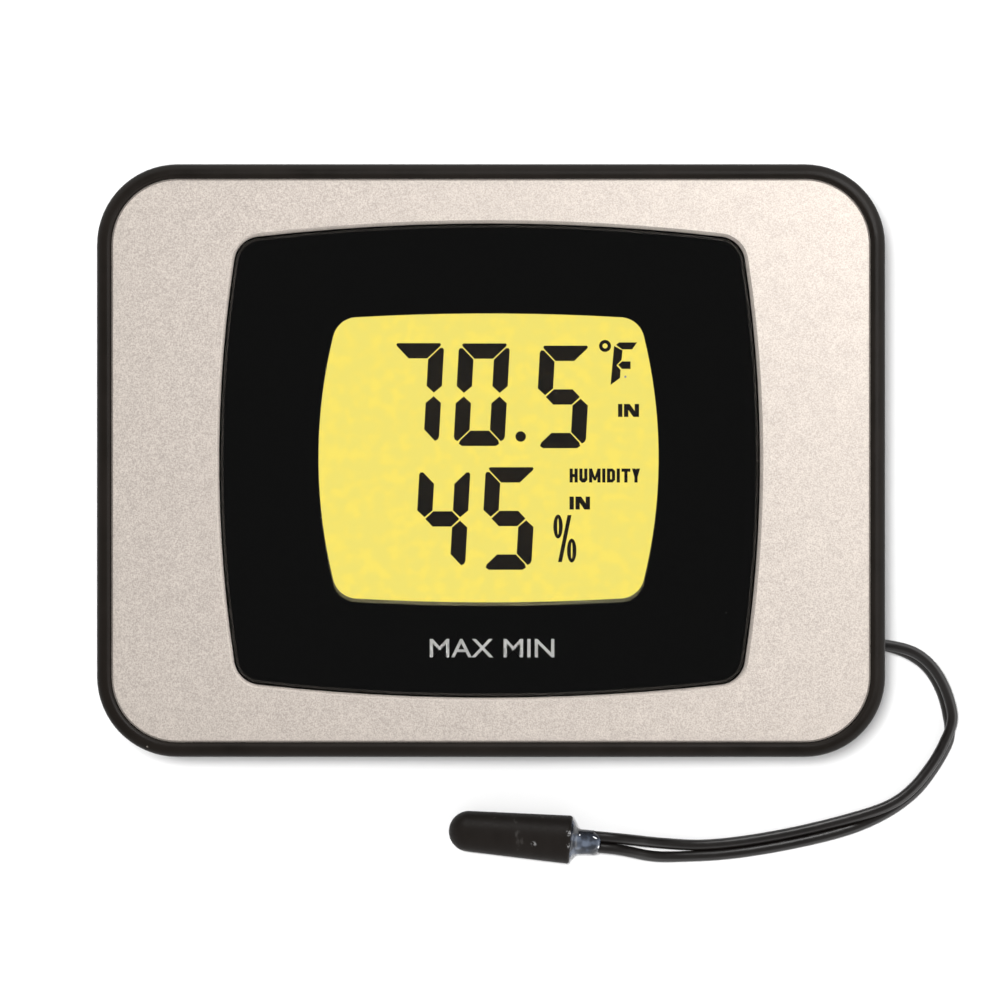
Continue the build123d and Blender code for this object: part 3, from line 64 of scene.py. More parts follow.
# ---- Cord -----------------------------------------------------------------------------------
# The route's points from part.py, moved up or down a little so that the pair of wires rests on
# the table as it turns flat. The last one runs on into the probe's glue.
CORD_ROUTE = [
    (0.0548, -0.0262, 0.0052),
    (0.0588, -0.0267, 0.0052),
    (0.0629, -0.0289, 0.0044),
    (0.0656, -0.0331, 0.0028),
    (0.0668, -0.0384, 0.0018),
    (0.0647, -0.0432, 0.0016),
    (0.0604, -0.0487, 0.0017),
    (0.0540, -0.0520, 0.0014),
    (0.0430, -0.0548, 0.0009),
    (0.0315, -0.0565, 0.0009),
    (0.0242, -0.0560, 0.0016),
    (0.0191, -0.0553, 0.0036),
    (0.0147, -0.0549, 0.0036),
    (0.0126, -0.0547, 0.0036),
]
WIRE_RADIUS = 0.00079
WIRE_SIDES = 16
WIRE_OFFSET = 0.985             # from the line to each wire, in radii, so that the two touch
# How far the pair is turned about its own line: 90 has one wire above the other, 180 is flat.
CORD_ROLL = [(0.0, 90), (0.09, 68), (0.21, 68), (0.27, 111), (0.39, 116), (0.56, 180), (1.0, 180)]
SPLIT_FROM = 0.77               # the lower wire sags away between these shares of the length
SPLIT_TO = 0.945
SPLIT_WIDTH = 0.00044

# ---- Glue at the probe's mouth --------------------------------------------------------------
GLUE_NECK = 0.0032              # from the cap's mouth to the end of the CAD's cord
GLUE_SIDES = 28
GLUE_LUMPS_PER_METRE = 700
GLUE_UNEVENNESS = 0.00035
GLUE_STATIONS = [               # along the cord from the mouth, radius, shift towards +Y, in mm
    (-1.0, 2.85, 0.0),
    (0.0, 3.05, 0.0),
    (0.3, 2.6, 0.0),
    (0.6, 2.1, -0.1),
    (1.0, 1.85, -0.2),
    (1.7, 1.75, -0.25),
    (2.5, 1.72, -0.25),
    (3.3, 1.7, -0.2),
    (3.9, 1.5, -0.15),
    (4.2, 1.1, -0.1),
]
# Painted highlights on the probe cap: pale spots that stand in for glints, two of them on the mouth's
# edge.
PROBE_PAINTED_GLINTS = [                # middle and radius
    ((0.00609, -0.05521, 0.0070), 0.00075),
    ((0.01121, -0.05348, 0.0069), 0.00060),
    ((0.01121, -0.05535, 0.0070), 0.00050),
]
GLINT_TURN = -25.0              # degrees
GLUE_PAINTED_GLINTS = [                 # pale specks on the glue, painted highlights where light glints: middle and size
    ((0.01275, -0.05385, 0.00525), (0.00024, 0.00024, 0.0002)),
    ((0.01495, -0.05425, 0.00525), (0.00070, 0.00022, 0.0002)),
    ((0.01545, -0.05560, 0.00510), (0.00022, 0.00044, 0.0002)),
]

# ---- Display --------------------------------------------------------------------------------
INK_Z = 0.02041                 # just above the display's front film
INK_THICKNESS = 0.00003
DIGIT_SIZE = (0.00723, 0.01453)
DIGIT_STROKE = 0.00217
DIGIT_GAP = 0.00012
DIGIT_POINT = 0.12              # how far a post's tip stays off the middle gap, in half strokes
# How far the corners are cut back, along the outer edge and along the slanting gap.
CAP_CUT = (0.00050, 0.00042)
FOOT_CUT = (0.00110, 0.00080)
POST_TOP_CUT = (0.00085, 0.00056)
POST_FOOT_CUT = (0.00120, 0.00056)
DIGIT_SLANT = 3.2               # degrees
DIGITS = [                      # segments, and the middle of the digit
    ("abc", (-0.01064, 0.00939)),
    ("abcdef", (-0.00132, 0.00935)),
    ("acdfg", (0.01017, 0.00903)),
    ("bcfg", (-0.00691, -0.00825)),
    ("acdfg", (0.00247, -0.00819)),
]
POINT_PLACE = (0.00420, 0.00343)
POINT_RADIUS = 0.00074
DEGREE_PLACE = (0.01615, 0.01626)
DEGREE_RADII = (0.00085, 0.00036)
F_PLACE = (0.01886, 0.01364)
F_BARS = [                      # top bar, stem and middle bar, about the middle of the letter
    [(-1.15, 2.76), (-0.30, 2.13), (1.12, 2.13), (1.83, 3.12), (-0.72, 3.12)],
    [
        (-1.43, 2.62),
        (-1.93, -2.91),
        (-0.58, -1.91),
        (-0.51, -0.78),
        (-1.08, -0.14),
        (-0.37, 0.64),
        (-0.23, 1.98),
    ],
    [(-0.86, -0.07), (-0.30, -0.64), (0.91, -0.64), (0.91, 0.43), (-0.30, 0.43)],
]
PERCENT_RINGS = [(0.00949, -0.00933), (0.01143, -0.01273)]
PERCENT_RING_SIZE = (0.00067, 0.00170)
PERCENT_STROKE = 0.00056
PERCENT_SLASH = [(0.01112, -0.00770), (0.00977, -0.01436)]

# Bold words on the display: letters, middle of the word, its width and height, stroke.
DISPLAY_WORDS = [
    ("IN", (0.01948, 0.00712), (0.00298, 0.00184), 0.00062),
    ("HUMIDITY", (0.01612, -0.00210), (0.00999, 0.00198), 0.00046),
    ("IN", (0.01257, -0.00600), (0.00291, 0.00184), 0.00062),
]
LETTER_WIDTHS = {"I": 0.0, "M": 1.7, "T": 1.15}   # beyond the stroke, in ordinary letters
LETTER_SPACE = 0.00022

# ---- Printed words: text, middle, width, height, extra weight ----------------------------------
LEGEND = ("MAX MIN", (0.00014, -0.02651), 0.0176, 0.0026, 0.004)
LEGEND_Z = 0.02221
BACK_WORDS = [
    ("LIGHT", (-0.0295, 0.0150), 0.0040, 0.0012, 0.01),
    ("IN/OUT", (-0.0295, 0.0050), 0.0040, 0.0012, 0.01),
    ("MAX/MIN", (-0.0294, -0.0050), 0.0042, 0.0012, 0.01),
    ("RESET", (-0.0294, -0.0150), 0.0042, 0.0012, 0.01),
    ("°F", (0.0332, -0.0145), 0.0020, 0.0015, 0.01),
    ("°C", (0.0400, -0.0145), 0.0020, 0.0015, 0.01),
]
BACK_WORDS_Z = -0.00001
DOOR_WORDS = ("2 x AAA", (0.0, 0.0100), 0.0110, 0.0022, 0.01)
DOOR_WORDS_Z = 0.00029

# ---- Floor, lights and sky ------------------------------------------------------------------
FLOOR_HALF = 2.5
FLOOR_DROP = 0.00002            # below the lowest point of the CAD
KEY_PLACE = (-0.055, 0.047, 1.20)
KEY_SIZE = (0.11, 0.11)
KEY_POWER = 15.6
SIDE_PLACE = (0.30, 0.27, 0.60)     # seen only in reflections, by the face
SIDE_SIZE = (0.30, 0.40)
SIDE_POWER = 7.0
SIDE_PIECES = ["face_panel", "front_housing", "display_lens"]
GLOSS_PLACE = (-0.165, 0.565, 0.47)     # seen only in reflections, by the cord and the probe
GLOSS_SIZE = (0.30, 0.14)
GLOSS_POWER = 6.0
GLOSS_PIECES = ["twin_lead", "probe_cap", "glue_collar", "glue_painted_glints"]
BACK_PLACE = (0.30, -0.40, -0.60)       # below the floor, for views of the back
BACK_SIZE = (0.40, 0.40)
BACK_POWER = 9.0
SKY_STRENGTH = 0.80
SKY_IN_REFLECTIONS = 0.40
SKY_OVERHEAD = 0.15             # what the lens mirrors straight up
SKY_DARK_CONE = (13.5, 6.3)     # degrees from straight up where the dark patch begins and is full
SKY_GLOW = 2.6                  # extra in reflections low down, mostly towards the upper right
SKY_GLOW_TOWARDS = (0.8, 0.6, 0.0)
SKY_GLOW_TURN = (-1.0, 0.1)     # how far towards that side the glow begins and is full
SKY_GLOW_RISE = (0.70, 0.40)    # the height in the sky where the glow begins and is full


# =============================================================================================
# Camera
# =============================================================================================
def make_camera():
    """A long lens straight above the display, so that almost no side of the case shows."""
    data = bpy.data.cameras.new("camera")
    data.sensor_width = SENSOR
    data.lens = SENSOR * (CAMERA_PLACE[2] - FACE_Z) / VIEW_WIDTH
    data.clip_start = 0.05
    data.clip_end = 20.0
    camera = bpy.data.objects.new("camera", data)
    camera.location = CAMERA_PLACE
    bpy.context.scene.collection.objects.link(camera)
    bpy.context.scene.camera = camera


make_camera()


# =============================================================================================
# Small helpers for meshes
# =============================================================================================
def object_from(name, mesh, body, material):
    """A piece made from a finished mesh, riding on a CAD body."""
    piece = bpy.data.objects.new(name, mesh)
    bpy.context.scene.collection.objects.link(piece)
    mesh.materials.clear()
    mesh.materials.append(material)
    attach(piece, body)
    return piece


def smooth_step(share):
    """0 to 1, leaving and arriving gently."""
    share = min(1.0, max(0.0, share))
    return share * share * (3 - 2 * share)


def between(stops, at):
    """The value at a place, eased between (place, value) stops."""
    for (x0, y0), (x1, y1) in zip(stops, stops[1:]):
        if at <= x1:
            return y0 + (y1 - y0) * smooth_step((at - x0) / (x1 - x0))
    return stops[-1][1]


def prism(builder, outline, z, thickness):
    """Adds a thin plate with this outline of (x, y) points, counter-clockwise."""
    low = [builder.verts.new((x, y, z)) for x, y in outline]
    high = [builder.verts.new((x, y, z + thickness)) for x, y in outline]
    builder.faces.new(high)
    builder.faces.new(low[::-1])
    for i in range(len(outline)):
        j = (i + 1) % len(outline)
        builder.faces.new((low[i], low[j], high[j], high[i]))


def finished(builder, name):
    """The builder's mesh, with its faces turned outwards."""
    mesh = bpy.data.meshes.new(name)
    bmesh.ops.recalc_face_normals(builder, faces=builder.faces)
    builder.to_mesh(mesh)
    builder.free()
    return mesh


# =============================================================================================
# Materials
# =============================================================================================
def srgb(red, green, blue):
    """A colour given as 0 to 255 screen values, as the linear colour that shaders take."""
    linear = []
    for value in (red, green, blue):
        share = value / 255
        linear.append(share / 12.92 if share <= 0.04045 else ((share + 0.055) / 1.055) ** 2.4)
    return (*linear, 1.0)


def new_material(name, roughness, metallic=0.0):
    """A material and its main shader."""
    made = bpy.data.materials.new(name)
    made.use_nodes = True
    shader = made.node_tree.nodes["Principled BSDF"]
    shader.inputs["Roughness"].default_value = roughness
    shader.inputs["Metallic"].default_value = metallic
    return made, shader


def noise_of(made, scale, detail=3.0, stretch=(1, 1, 1)):
    """Noise fixed to the object, with this many cells a metre. Returns its 0 to 1 output."""
    tree = made.node_tree
    place = tree.nodes.new("ShaderNodeTexCoord")
    mapping = tree.nodes.new("ShaderNodeMapping")
    mapping.inputs["Scale"].default_value = stretch
    texture = tree.nodes.new("ShaderNodeTexNoise")
    texture.inputs["Scale"].default_value = scale
    texture.inputs["Detail"].default_value = detail
    tree.links.new(place.outputs["Object"], mapping.inputs["Vector"])
    tree.links.new(mapping.outputs["Vector"], texture.inputs["Vector"])
    return texture.outputs["Fac"]


def ramp_of(made, source, stops):
    """A colour ramp over a 0 to 1 value, with (place, colour) stops."""
    tree = made.node_tree
    ramp = tree.nodes.new("ShaderNodeValToRGB")
    elements = ramp.color_ramp.elements
    while len(elements) < len(stops):
        elements.new(0.5)
    for element, (place, colour) in zip(elements, stops):
        element.position = place
        element.color = colour
    tree.links.new(source, ramp.inputs["Fac"])
    return ramp.outputs["Color"]


def range_of(made, source, low, high):
    """The middle of a noise value, stretched over low to high."""
    tree = made.node_tree
    node = tree.nodes.new("ShaderNodeMapRange")
    node.inputs["From Min"].default_value = 0.3
    node.inputs["From Max"].default_value = 0.7
    node.inputs["To Min"].default_value = low
    node.inputs["To Max"].default_value = high
    tree.links.new(source, node.inputs["Value"])
    return node.outputs["Result"]


def bump_of(made, shader, source, depth):
    """Relief on the shader, this deep in metres."""
    tree = made.node_tree
    bump = tree.nodes.new("ShaderNodeBump")
    bump.inputs["Distance"].default_value = depth
    tree.links.new(source, bump.inputs["Height"])
    tree.links.new(bump.outputs["Normal"], shader.inputs["Normal"])


def eased_of(owner, source, stops, values=(0.0, 1.0)):
    """A value that goes smoothly from the first of two values to the second between two stops."""
    node = owner.node_tree.nodes.new("ShaderNodeMapRange")
    node.interpolation_type = "SMOOTHSTEP"
    node.inputs["From Min"].default_value, node.inputs["From Max"].default_value = stops
    node.inputs["To Min"].default_value, node.inputs["To Max"].default_value = values
    owner.node_tree.links.new(source, node.inputs["Value"])
    return node.outputs["Result"]


def math_of(owner, operation, first, second):
    """One calculation on two inputs, each a number or another node's output."""
    node = owner.node_tree.nodes.new("ShaderNodeMath")
    node.operation = operation
    for socket, value in zip(node.inputs, (first, second)):
        if isinstance(value, float):
            socket.default_value = value
        else:
            owner.node_tree.links.new(value, socket)
    return node.outputs[0]


def mix_of(made, share, first, second):
    """Two colours mixed by a 0 to 1 value."""
    tree = made.node_tree
    mix = tree.nodes.new("ShaderNodeMix")
    mix.data_type = "RGBA"
    tree.links.new(share, mix.inputs["Factor"])
    for socket, colour in ((mix.inputs["A"], first), (mix.inputs["B"], second)):
        if isinstance(colour, tuple):
            socket.default_value = colour
        else:
            tree.links.new(colour, socket)
    return mix.outputs["Result"]


def grained(name, dark, light, roughness, grain, depth, metallic=0.0):
    """A surface whose colour wanders between two shades, with a fine grain in its relief."""
    made, shader = new_material(name, roughness, metallic)
    links = made.node_tree.links
    fine = noise_of(made, grain)
    broad = noise_of(made, grain / 12, detail=5.0)
    colour = ramp_of(made, broad, [(0.3, srgb(*dark)), (0.7, srgb(*light))])
    links.new(colour, shader.inputs["Base Color"])
    links.new(range_of(made, fine, roughness - 0.06, roughness + 0.06), shader.inputs["Roughness"])
    bump_of(made, shader, fine, depth)
    return made


CLEAN_SHARE = 0.9               # how many of the cells hold no speck of dust


def dust_of(made, cells, size):
    """1 on sparse specks of dust and 0 elsewhere, with this many cells a metre."""
    tree = made.node_tree
    place = tree.nodes.new("ShaderNodeTexCoord")
    spots = tree.nodes.new("ShaderNodeTexVoronoi")
    spots.inputs["Scale"].default_value = cells
    tree.links.new(place.outputs["Object"], spots.inputs["Vector"])
    near = math_of(made, "LESS_THAN", spots.outputs["Distance"], size)
    rare = math_of(made, "GREATER_THAN", spots.outputs["Color"], CLEAN_SHARE)
    return math_of(made, "MULTIPLY", near, rare)


def case_plastic(name, dark, light, specular):
    """Satin black plastic with a fine moulded grain and a few specks of dust."""
    made, shader = new_material(name, 0.42)
    shader.inputs["Specular IOR Level"].default_value = specular
    links = made.node_tree.links
    fine = noise_of(made, 4200)
    broad = noise_of(made, 160, detail=5.0)
    colour = ramp_of(made, broad, [(0.3, srgb(*dark)), (0.7, srgb(*light))])
    specks = dust_of(made, 520, 0.09)
    links.new(mix_of(made, specks, colour, srgb(96, 92, 86)), shader.inputs["Base Color"])
    links.new(range_of(made, broad, 0.36, 0.48), shader.inputs["Roughness"])
    bump_of(made, shader, fine, 0.000012)
    return made


def panel_paint():
    """Silver lacquer: warm grey with metal flakes about a fifth of a millimetre across."""
    made, shader = new_material("panel_lacquer", 0.42, metallic=0.55)
    links = made.node_tree.links
    flakes = noise_of(made, 5200, detail=2.0)
    clouds = noise_of(made, 420, detail=4.0)
    light = ramp_of(made, flakes, [(0.30, srgb(161, 152, 145)), (0.70, srgb(189, 180, 171))])
    dull = ramp_of(made, clouds, [(0.3, srgb(228, 228, 228)), (0.7, srgb(255, 255, 255))])
    tree = made.node_tree
    tinted = tree.nodes.new("ShaderNodeMix")
    tinted.data_type = "RGBA"
    tinted.blend_type = "MULTIPLY"
    tinted.inputs["Factor"].default_value = 0.25
    links.new(light, tinted.inputs["A"])
    links.new(dull, tinted.inputs["B"])
    links.new(tinted.outputs["Result"], shader.inputs["Base Color"])
    links.new(range_of(made, flakes, 0.36, 0.50), shader.inputs["Roughness"])
    bump_of(made, shader, flakes, 0.000008)
    return made


def lens_plastic():
    """Clear acrylic with a little dust on it."""
    made, shader = new_material("lens_acrylic", 0.02)
    links = made.node_tree.links
    shader.inputs["IOR"].default_value = 1.49
    specks = dust_of(made, 420, 0.07)
    dusty = mix_of(made, specks, srgb(255, 255, 255), srgb(120, 118, 112))
    links.new(dusty, shader.inputs["Base Color"])
    links.new(math_of(made, "SUBTRACT", 1.0, specks), shader.inputs["Transmission Weight"])
    haze = noise_of(made, 90, detail=4.0)
    links.new(range_of(made, haze, 0.01, 0.035), shader.inputs["Roughness"])
    return made


def painted_glow_display():
    """The display film as painted light: it glows a mottled yellow itself, standing in for the backlight
    that shines through it from the light guide behind the glass.
    """
    made, shader = new_material("display_painted_glow", 0.5)
    links = made.node_tree.links
    blotches = noise_of(made, 620, detail=1.5)
    yellow = ramp_of(
        made,
        blotches,
        [(0.42, srgb(243, 227, 110)), (0.54, srgb(246, 228, 107)), (0.64, srgb(251, 231, 104))],
    )
    shader.inputs["Base Color"].default_value = srgb(12, 11, 6)
    shader.inputs["Specular IOR Level"].default_value = 0.0
    # Painted glow: the film gives out the yellow light itself, over a near-black base.
    links.new(yellow, shader.inputs["Emission Color"])
    shader.inputs["Emission Strength"].default_value = 1.07
    return made


def wire_jacket():
    """Soft black vinyl with a broad dull sheen."""
    made = grained("wire_jacket", (13, 10, 9), (20, 17, 15), 0.34, 900, 0.000001)
    made.node_tree.nodes["Principled BSDF"].inputs["Specular IOR Level"].default_value = 0.42
    return made


def display_ink():
    """Switched segments of the display: near black, with no gloss of their own."""
    made = grained("display_ink", (20, 15, 7), (26, 20, 10), 0.7, 2500, 0.000001)
    made.node_tree.nodes["Principled BSDF"].inputs["Specular IOR Level"].default_value = 0.0
    return made


def glue():
    """Cloudy glue, half clear, with a wet surface."""
    made, shader = new_material("cloudy_glue", 0.12)
    links = made.node_tree.links
    lumps = noise_of(made, 520, detail=2.0)
    cloudy = ramp_of(
        made, lumps, [(0.40, srgb(32, 34, 38)), (0.55, srgb(48, 52, 60)), (0.68, srgb(90, 98, 112))]
    )
    links.new(cloudy, shader.inputs["Base Color"])
    shader.inputs["Transmission Weight"].default_value = 0.12
    shader.inputs["IOR"].default_value = 1.45
    bump_of(made, shader, lumps, 0.00012)
    return made


def spots_of(made, spots):
    """1 inside any of a few round spots, given by middle and radius, and 0 elsewhere."""
    tree = made.node_tree
    place = tree.nodes.new("ShaderNodeTexCoord")
    total = None
    for centre, radius in spots:
        away = tree.nodes.new("ShaderNodeVectorMath")
        away.operation = "DISTANCE"
        away.inputs[1].default_value = centre
        tree.links.new(place.outputs["Object"], away.inputs[0])
        inside = eased_of(made, away.outputs["Value"], (radius, radius / 3))
        total = inside if total is None else math_of(made, "MAXIMUM", total, inside)
    return total


def probe_plastic():
    """Matte black cap with faint random scuffs, and pale spots painted at fixed places as highlights
    where light glints, two of them at its mouth's edge.
    """
    made, shader = new_material("probe_plastic", 0.5)
    shader.inputs["Specular IOR Level"].default_value = 0.06
    links = made.node_tree.links
    fine = noise_of(made, 3000)
    scuffs = noise_of(made, 420, detail=6.0, stretch=(1, 0.35, 1))
    colour = ramp_of(
        made, scuffs, [(0.0, srgb(20, 17, 15)), (0.64, srgb(27, 24, 22)), (0.76, srgb(66, 64, 62))]
    )
    # Painted highlights: pale patches inside the fixed spots stand in for glints of light.
    blots = noise_of(made, 2600, detail=2.0)
    glint_patches = ramp_of(made, blots, [(0.46, srgb(28, 25, 24)), (0.66, srgb(170, 170, 170))])
    links.new(mix_of(made, spots_of(made, PROBE_PAINTED_GLINTS), colour, glint_patches), shader.inputs["Base Color"])
    links.new(range_of(made, fine, 0.44, 0.56), shader.inputs["Roughness"])
    bump_of(made, shader, fine, 0.00002)
    return made


CELL_HALF_LENGTH = 0.0226


def cell_wrap():
    """A battery's printed sleeve: dark body with a copper band at one end, bare metal caps."""
    made, shader = new_material("cell_sleeve", 0.3, metallic=0.4)
    tree = made.node_tree
    place = tree.nodes.new("ShaderNodeTexCoord")
    split = tree.nodes.new("ShaderNodeSeparateXYZ")
    tree.links.new(place.outputs["Object"], split.inputs["Vector"])
    along = tree.nodes.new("ShaderNodeMapRange")
    along.inputs["From Min"].default_value = -CELL_HALF_LENGTH
    along.inputs["From Max"].default_value = CELL_HALF_LENGTH
    tree.links.new(split.outputs["X"], along.inputs["Value"])
    bands = ramp_of(
        made,
        along.outputs["Result"],
        [
            (0.0, srgb(190, 188, 184)),
            (0.022, srgb(176, 110, 52)),
            (0.27, srgb(26, 26, 28)),
            (0.975, srgb(190, 188, 184)),
        ],
    )
    bands.node.color_ramp.interpolation = "CONSTANT"
    tree.links.new(bands, shader.inputs["Base Color"])
    scratches = noise_of(made, 1500, stretch=(0.2, 1, 1))
    tree.links.new(range_of(made, scratches, 0.24, 0.36), shader.inputs["Roughness"])
    return made


CASE_BLACK = case_plastic("case_plastic", (17, 14, 11), (24, 20, 17), 0.08)
INK = display_ink()
PRINT = grained("legend_print", (186, 186, 184), (204, 204, 202), 0.45, 2500, 0.000002)
WIRE = wire_jacket()
# Painted highlights: the white of the specks that stand in for glints on the glue.
PAINTED_GLINT_WHITE = grained("glue_painted_glint", (214, 216, 220), (236, 238, 240), 0.4, 2500, 0.00001)

# Slot name in the record: the material that every CAD node of that slot gets. A grained one takes
# its dark and light shades, roughness, cells of grain a metre, depth of grain and metallic share.
MATERIALS = {
    "housing_black": CASE_BLACK,
    # Painted light: the rear is the front's black plastic painted a lighter grey, standing in for light
    # its back doesn't get.
    "rear_black": case_plastic("rear_plastic_painted_lighter", (38, 36, 34), (50, 48, 46), 0.4),
    "panel_silver": panel_paint(),
    "lens_clear": lens_plastic(),
    "mask_black": grained("mask_print", (31, 31, 21), (37, 37, 26), 0.5, 1500, 0.000001),
    "tape_black": grained("foam_tape", (20, 20, 20), (34, 34, 34), 0.8, 2200, 0.00004),
    "frame_plastic": grained("frame_plastic", (84, 78, 46), (112, 104, 66), 0.55, 1800, 0.00001),
    "lcd_glass": grained("display_glass", (120, 128, 116), (140, 148, 134), 0.08, 900, 0.000001),
    "polariser": painted_glow_display(),
    "light_guide": grained("light_guide", (226, 220, 150), (240, 236, 176), 0.25, 1800, 0.00002),
    "reflector": grained("white_film", (222, 222, 218), (240, 240, 238), 0.5, 1500, 0.000005),
    "led_body": grained("lamp_body", (228, 222, 196), (244, 240, 220), 0.4, 2000, 0.00001),
    "zebra_rubber": grained("zebra_rubber", (52, 50, 52), (120, 100, 104), 0.7, 3000, 0.00002),
    "board_green": grained("board_green", (16, 62, 34), (26, 84, 46), 0.35, 700, 0.00002),
    "epoxy_black": grained("epoxy", (14, 14, 14), (24, 24, 24), 0.25, 600, 0.00008),
    "component_mix": grained("components", (96, 82, 62), (160, 146, 120), 0.4, 900, 0.00001),
    "crystal_can": grained("crystal_can", (168, 168, 166), (200, 200, 198), 0.25, 1800, 0.00001, 1.0),
    "sensor_white": grained("sensor_case", (218, 218, 212), (236, 236, 230), 0.5, 1500, 0.00001),
    "thermistor_black": grained("thermistor", (14, 14, 14), (28, 28, 28), 0.35, 1800, 0.00002),
    "screw_steel": grained("zinc_steel", (150, 148, 142), (190, 188, 180), 0.32, 2400, 0.00001, 1.0),
    "button_grey": grained("button_rubber", (96, 97, 99), (112, 113, 115), 0.6, 2800, 0.00002),
    "plunger_white": grained("plunger", (214, 214, 208), (232, 232, 226), 0.45, 1800, 0.00001),
    "switch_body": grained("switch_body", (22, 22, 24), (40, 40, 42), 0.4, 1800, 0.00001),
    "slider_white": grained("slider_knob", (212, 212, 206), (230, 230, 224), 0.45, 2000, 0.00002),
    "cell_wrap": cell_wrap(),
    "contact_metal": grained("spring_nickel", (176, 176, 172), (206, 206, 202), 0.24, 2200, 0.00001, 1.0),
    "cord_black": WIRE,
    "gland_black": grained("gland_rubber", (16, 16, 16), (28, 27, 26), 0.55, 2600, 0.00002),
    "probe_black": probe_plastic(),
    "glue_clear": glue(),
}


def dress_cad_nodes():
    """Gives every CAD node the procedural material of its slot in the record."""
    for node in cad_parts.values():
        slot_name = node.data.materials[0].name.split(".")[0]
        node.material_slots[0].link = "OBJECT"
        node.material_slots[0].material = MATERIALS[slot_name]


dress_cad_nodes()


# =============================================================================================
# Cord: a flat pair of wires, turned on edge at the case and flat on the table
# =============================================================================================
def line_of(points):
    """Points along the smooth line of a route, as its NURBS spline gives them."""
    curve = bpy.data.curves.new("route", "CURVE")
    curve.dimensions = "3D"
    curve.resolution_u = 16
    spline = curve.splines.new("NURBS")
    spline.points.add(len(points) - 1)
    for control, place in zip(spline.points, points):
        control.co = (*place, 1.0)
    spline.order_u = 3
    spline.use_endpoint_u = True
    carrier = bpy.data.objects.new("route", curve)
    bpy.context.scene.collection.objects.link(carrier)
    mesh = bpy.data.meshes.new_from_object(carrier)
    line = [vertex.co.copy() for vertex in mesh.vertices]
    bpy.data.objects.remove(carrier)
    bpy.data.curves.remove(curve)
    bpy.data.meshes.remove(mesh)
    return line


def make_cord():
    """The two wires, each a tube that follows the route's line at its own side."""
    line = line_of(CORD_ROUTE)
    travelled = [0.0]
    for before, after in zip(line, line[1:]):
        travelled.append(travelled[-1] + (after - before).length)
    up = Vector((0, 0, 1))
    builder = bmesh.new()
    for side in (1, -1):
        rings = []
        for i, centre in enumerate(line):
            ahead = line[min(i + 1, len(line) - 1)]
            behind = line[max(i - 1, 0)]
            along = (ahead - behind).normalized()
            left = up.cross(along).normalized()
            above = along.cross(left)
            share = travelled[i] / travelled[-1]
            roll = math.radians(between(CORD_ROLL, share))
            apart = math.cos(roll) * left + math.sin(roll) * above
            split = math.sin(math.pi * smooth_step((share - SPLIT_FROM) / (SPLIT_TO - SPLIT_FROM)))
            away = WIRE_RADIUS * WIRE_OFFSET
            if side < 0:
                away += SPLIT_WIDTH * split
            middle = centre + side * apart * away
            across = along.cross(apart)
            ring = []
            for k in range(WIRE_SIDES):
                angle = 2 * math.pi * k / WIRE_SIDES
                spoke = math.cos(angle) * apart + math.sin(angle) * across
                ring.append(builder.verts.new(middle + WIRE_RADIUS * spoke))
            rings.append(ring)
        for first, second in zip(rings, rings[1:]):
            for k in range(WIRE_SIDES):
                j = (k + 1) % WIRE_SIDES
                builder.faces.new((first[k], first[j], second[j], second[k]))
        builder.faces.new(rings[0])
        builder.faces.new(rings[-1])
    mesh = finished(builder, "twin_lead")
    for face in mesh.polygons:
        face.use_smooth = len(face.vertices) == 4
    piece = object_from("twin_lead", mesh, "case", WIRE)
    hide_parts("probe_cord")


def glue_ring(builder, centre, along, radius, lumps):
    """One ring of the glue's collar, a little uneven."""
    across = along.cross(Vector((0, 0, 1))).normalized()
    above = across.cross(along)
    ring = []
    for k in range(GLUE_SIDES):
        angle = 2 * math.pi * k / GLUE_SIDES
        spoke = math.cos(angle) * across + math.sin(angle) * above
        place = centre + radius * spoke
        swell = lumps * noise.noise(place * GLUE_LUMPS_PER_METRE)
        ring.append(builder.verts.new(place + swell * spoke))
    return ring


def make_glue():
    """The glue that domes out of the cap's mouth and closes round the two wires."""
    along = (Vector(CORD_ROUTE[-3]) - Vector(CORD_ROUTE[-2])).normalized()
    mouth = Vector(CORD_ROUTE[-2]) - GLUE_NECK * along
    builder = bmesh.new()
    rings = []
    for at, radius, sideways in GLUE_STATIONS:
        centre = mouth + at * MM * along + Vector((0, sideways * MM, 0))
        lumps = 0.0 if at <= 0 else GLUE_UNEVENNESS
        rings.append(glue_ring(builder, centre, along, radius * MM, lumps))
    for first, second in zip(rings, rings[1:]):
        for k in range(GLUE_SIDES):
            j = (k + 1) % GLUE_SIDES
            builder.faces.new((first[k], first[j], second[j], second[k]))
    builder.faces.new(rings[0])
    builder.faces.new(rings[-1])
    mesh = finished(builder, "glue_collar")
    for face in mesh.polygons:
        face.use_smooth = len(face.vertices) == 4
    object_from("glue_collar", mesh, "case", MATERIALS["glue_clear"])

    # Painted highlights: small white lumps on the glue that stand in for glints of light.
    glint_builder = bmesh.new()
    for place, size in GLUE_PAINTED_GLINTS:
        turn = Matrix.Rotation(math.radians(GLINT_TURN), 4, "Z")
        shape = Matrix.Translation(place) @ turn @ Matrix.Diagonal((*size, 1.0))
        bmesh.ops.create_icosphere(glint_builder, subdivisions=2, radius=0.5, matrix=shape)
    object_from("glue_painted_glints", finished(glint_builder, "glue_painted_glints"), "case", PAINTED_GLINT_WHITE)


make_glue()
make_cord()


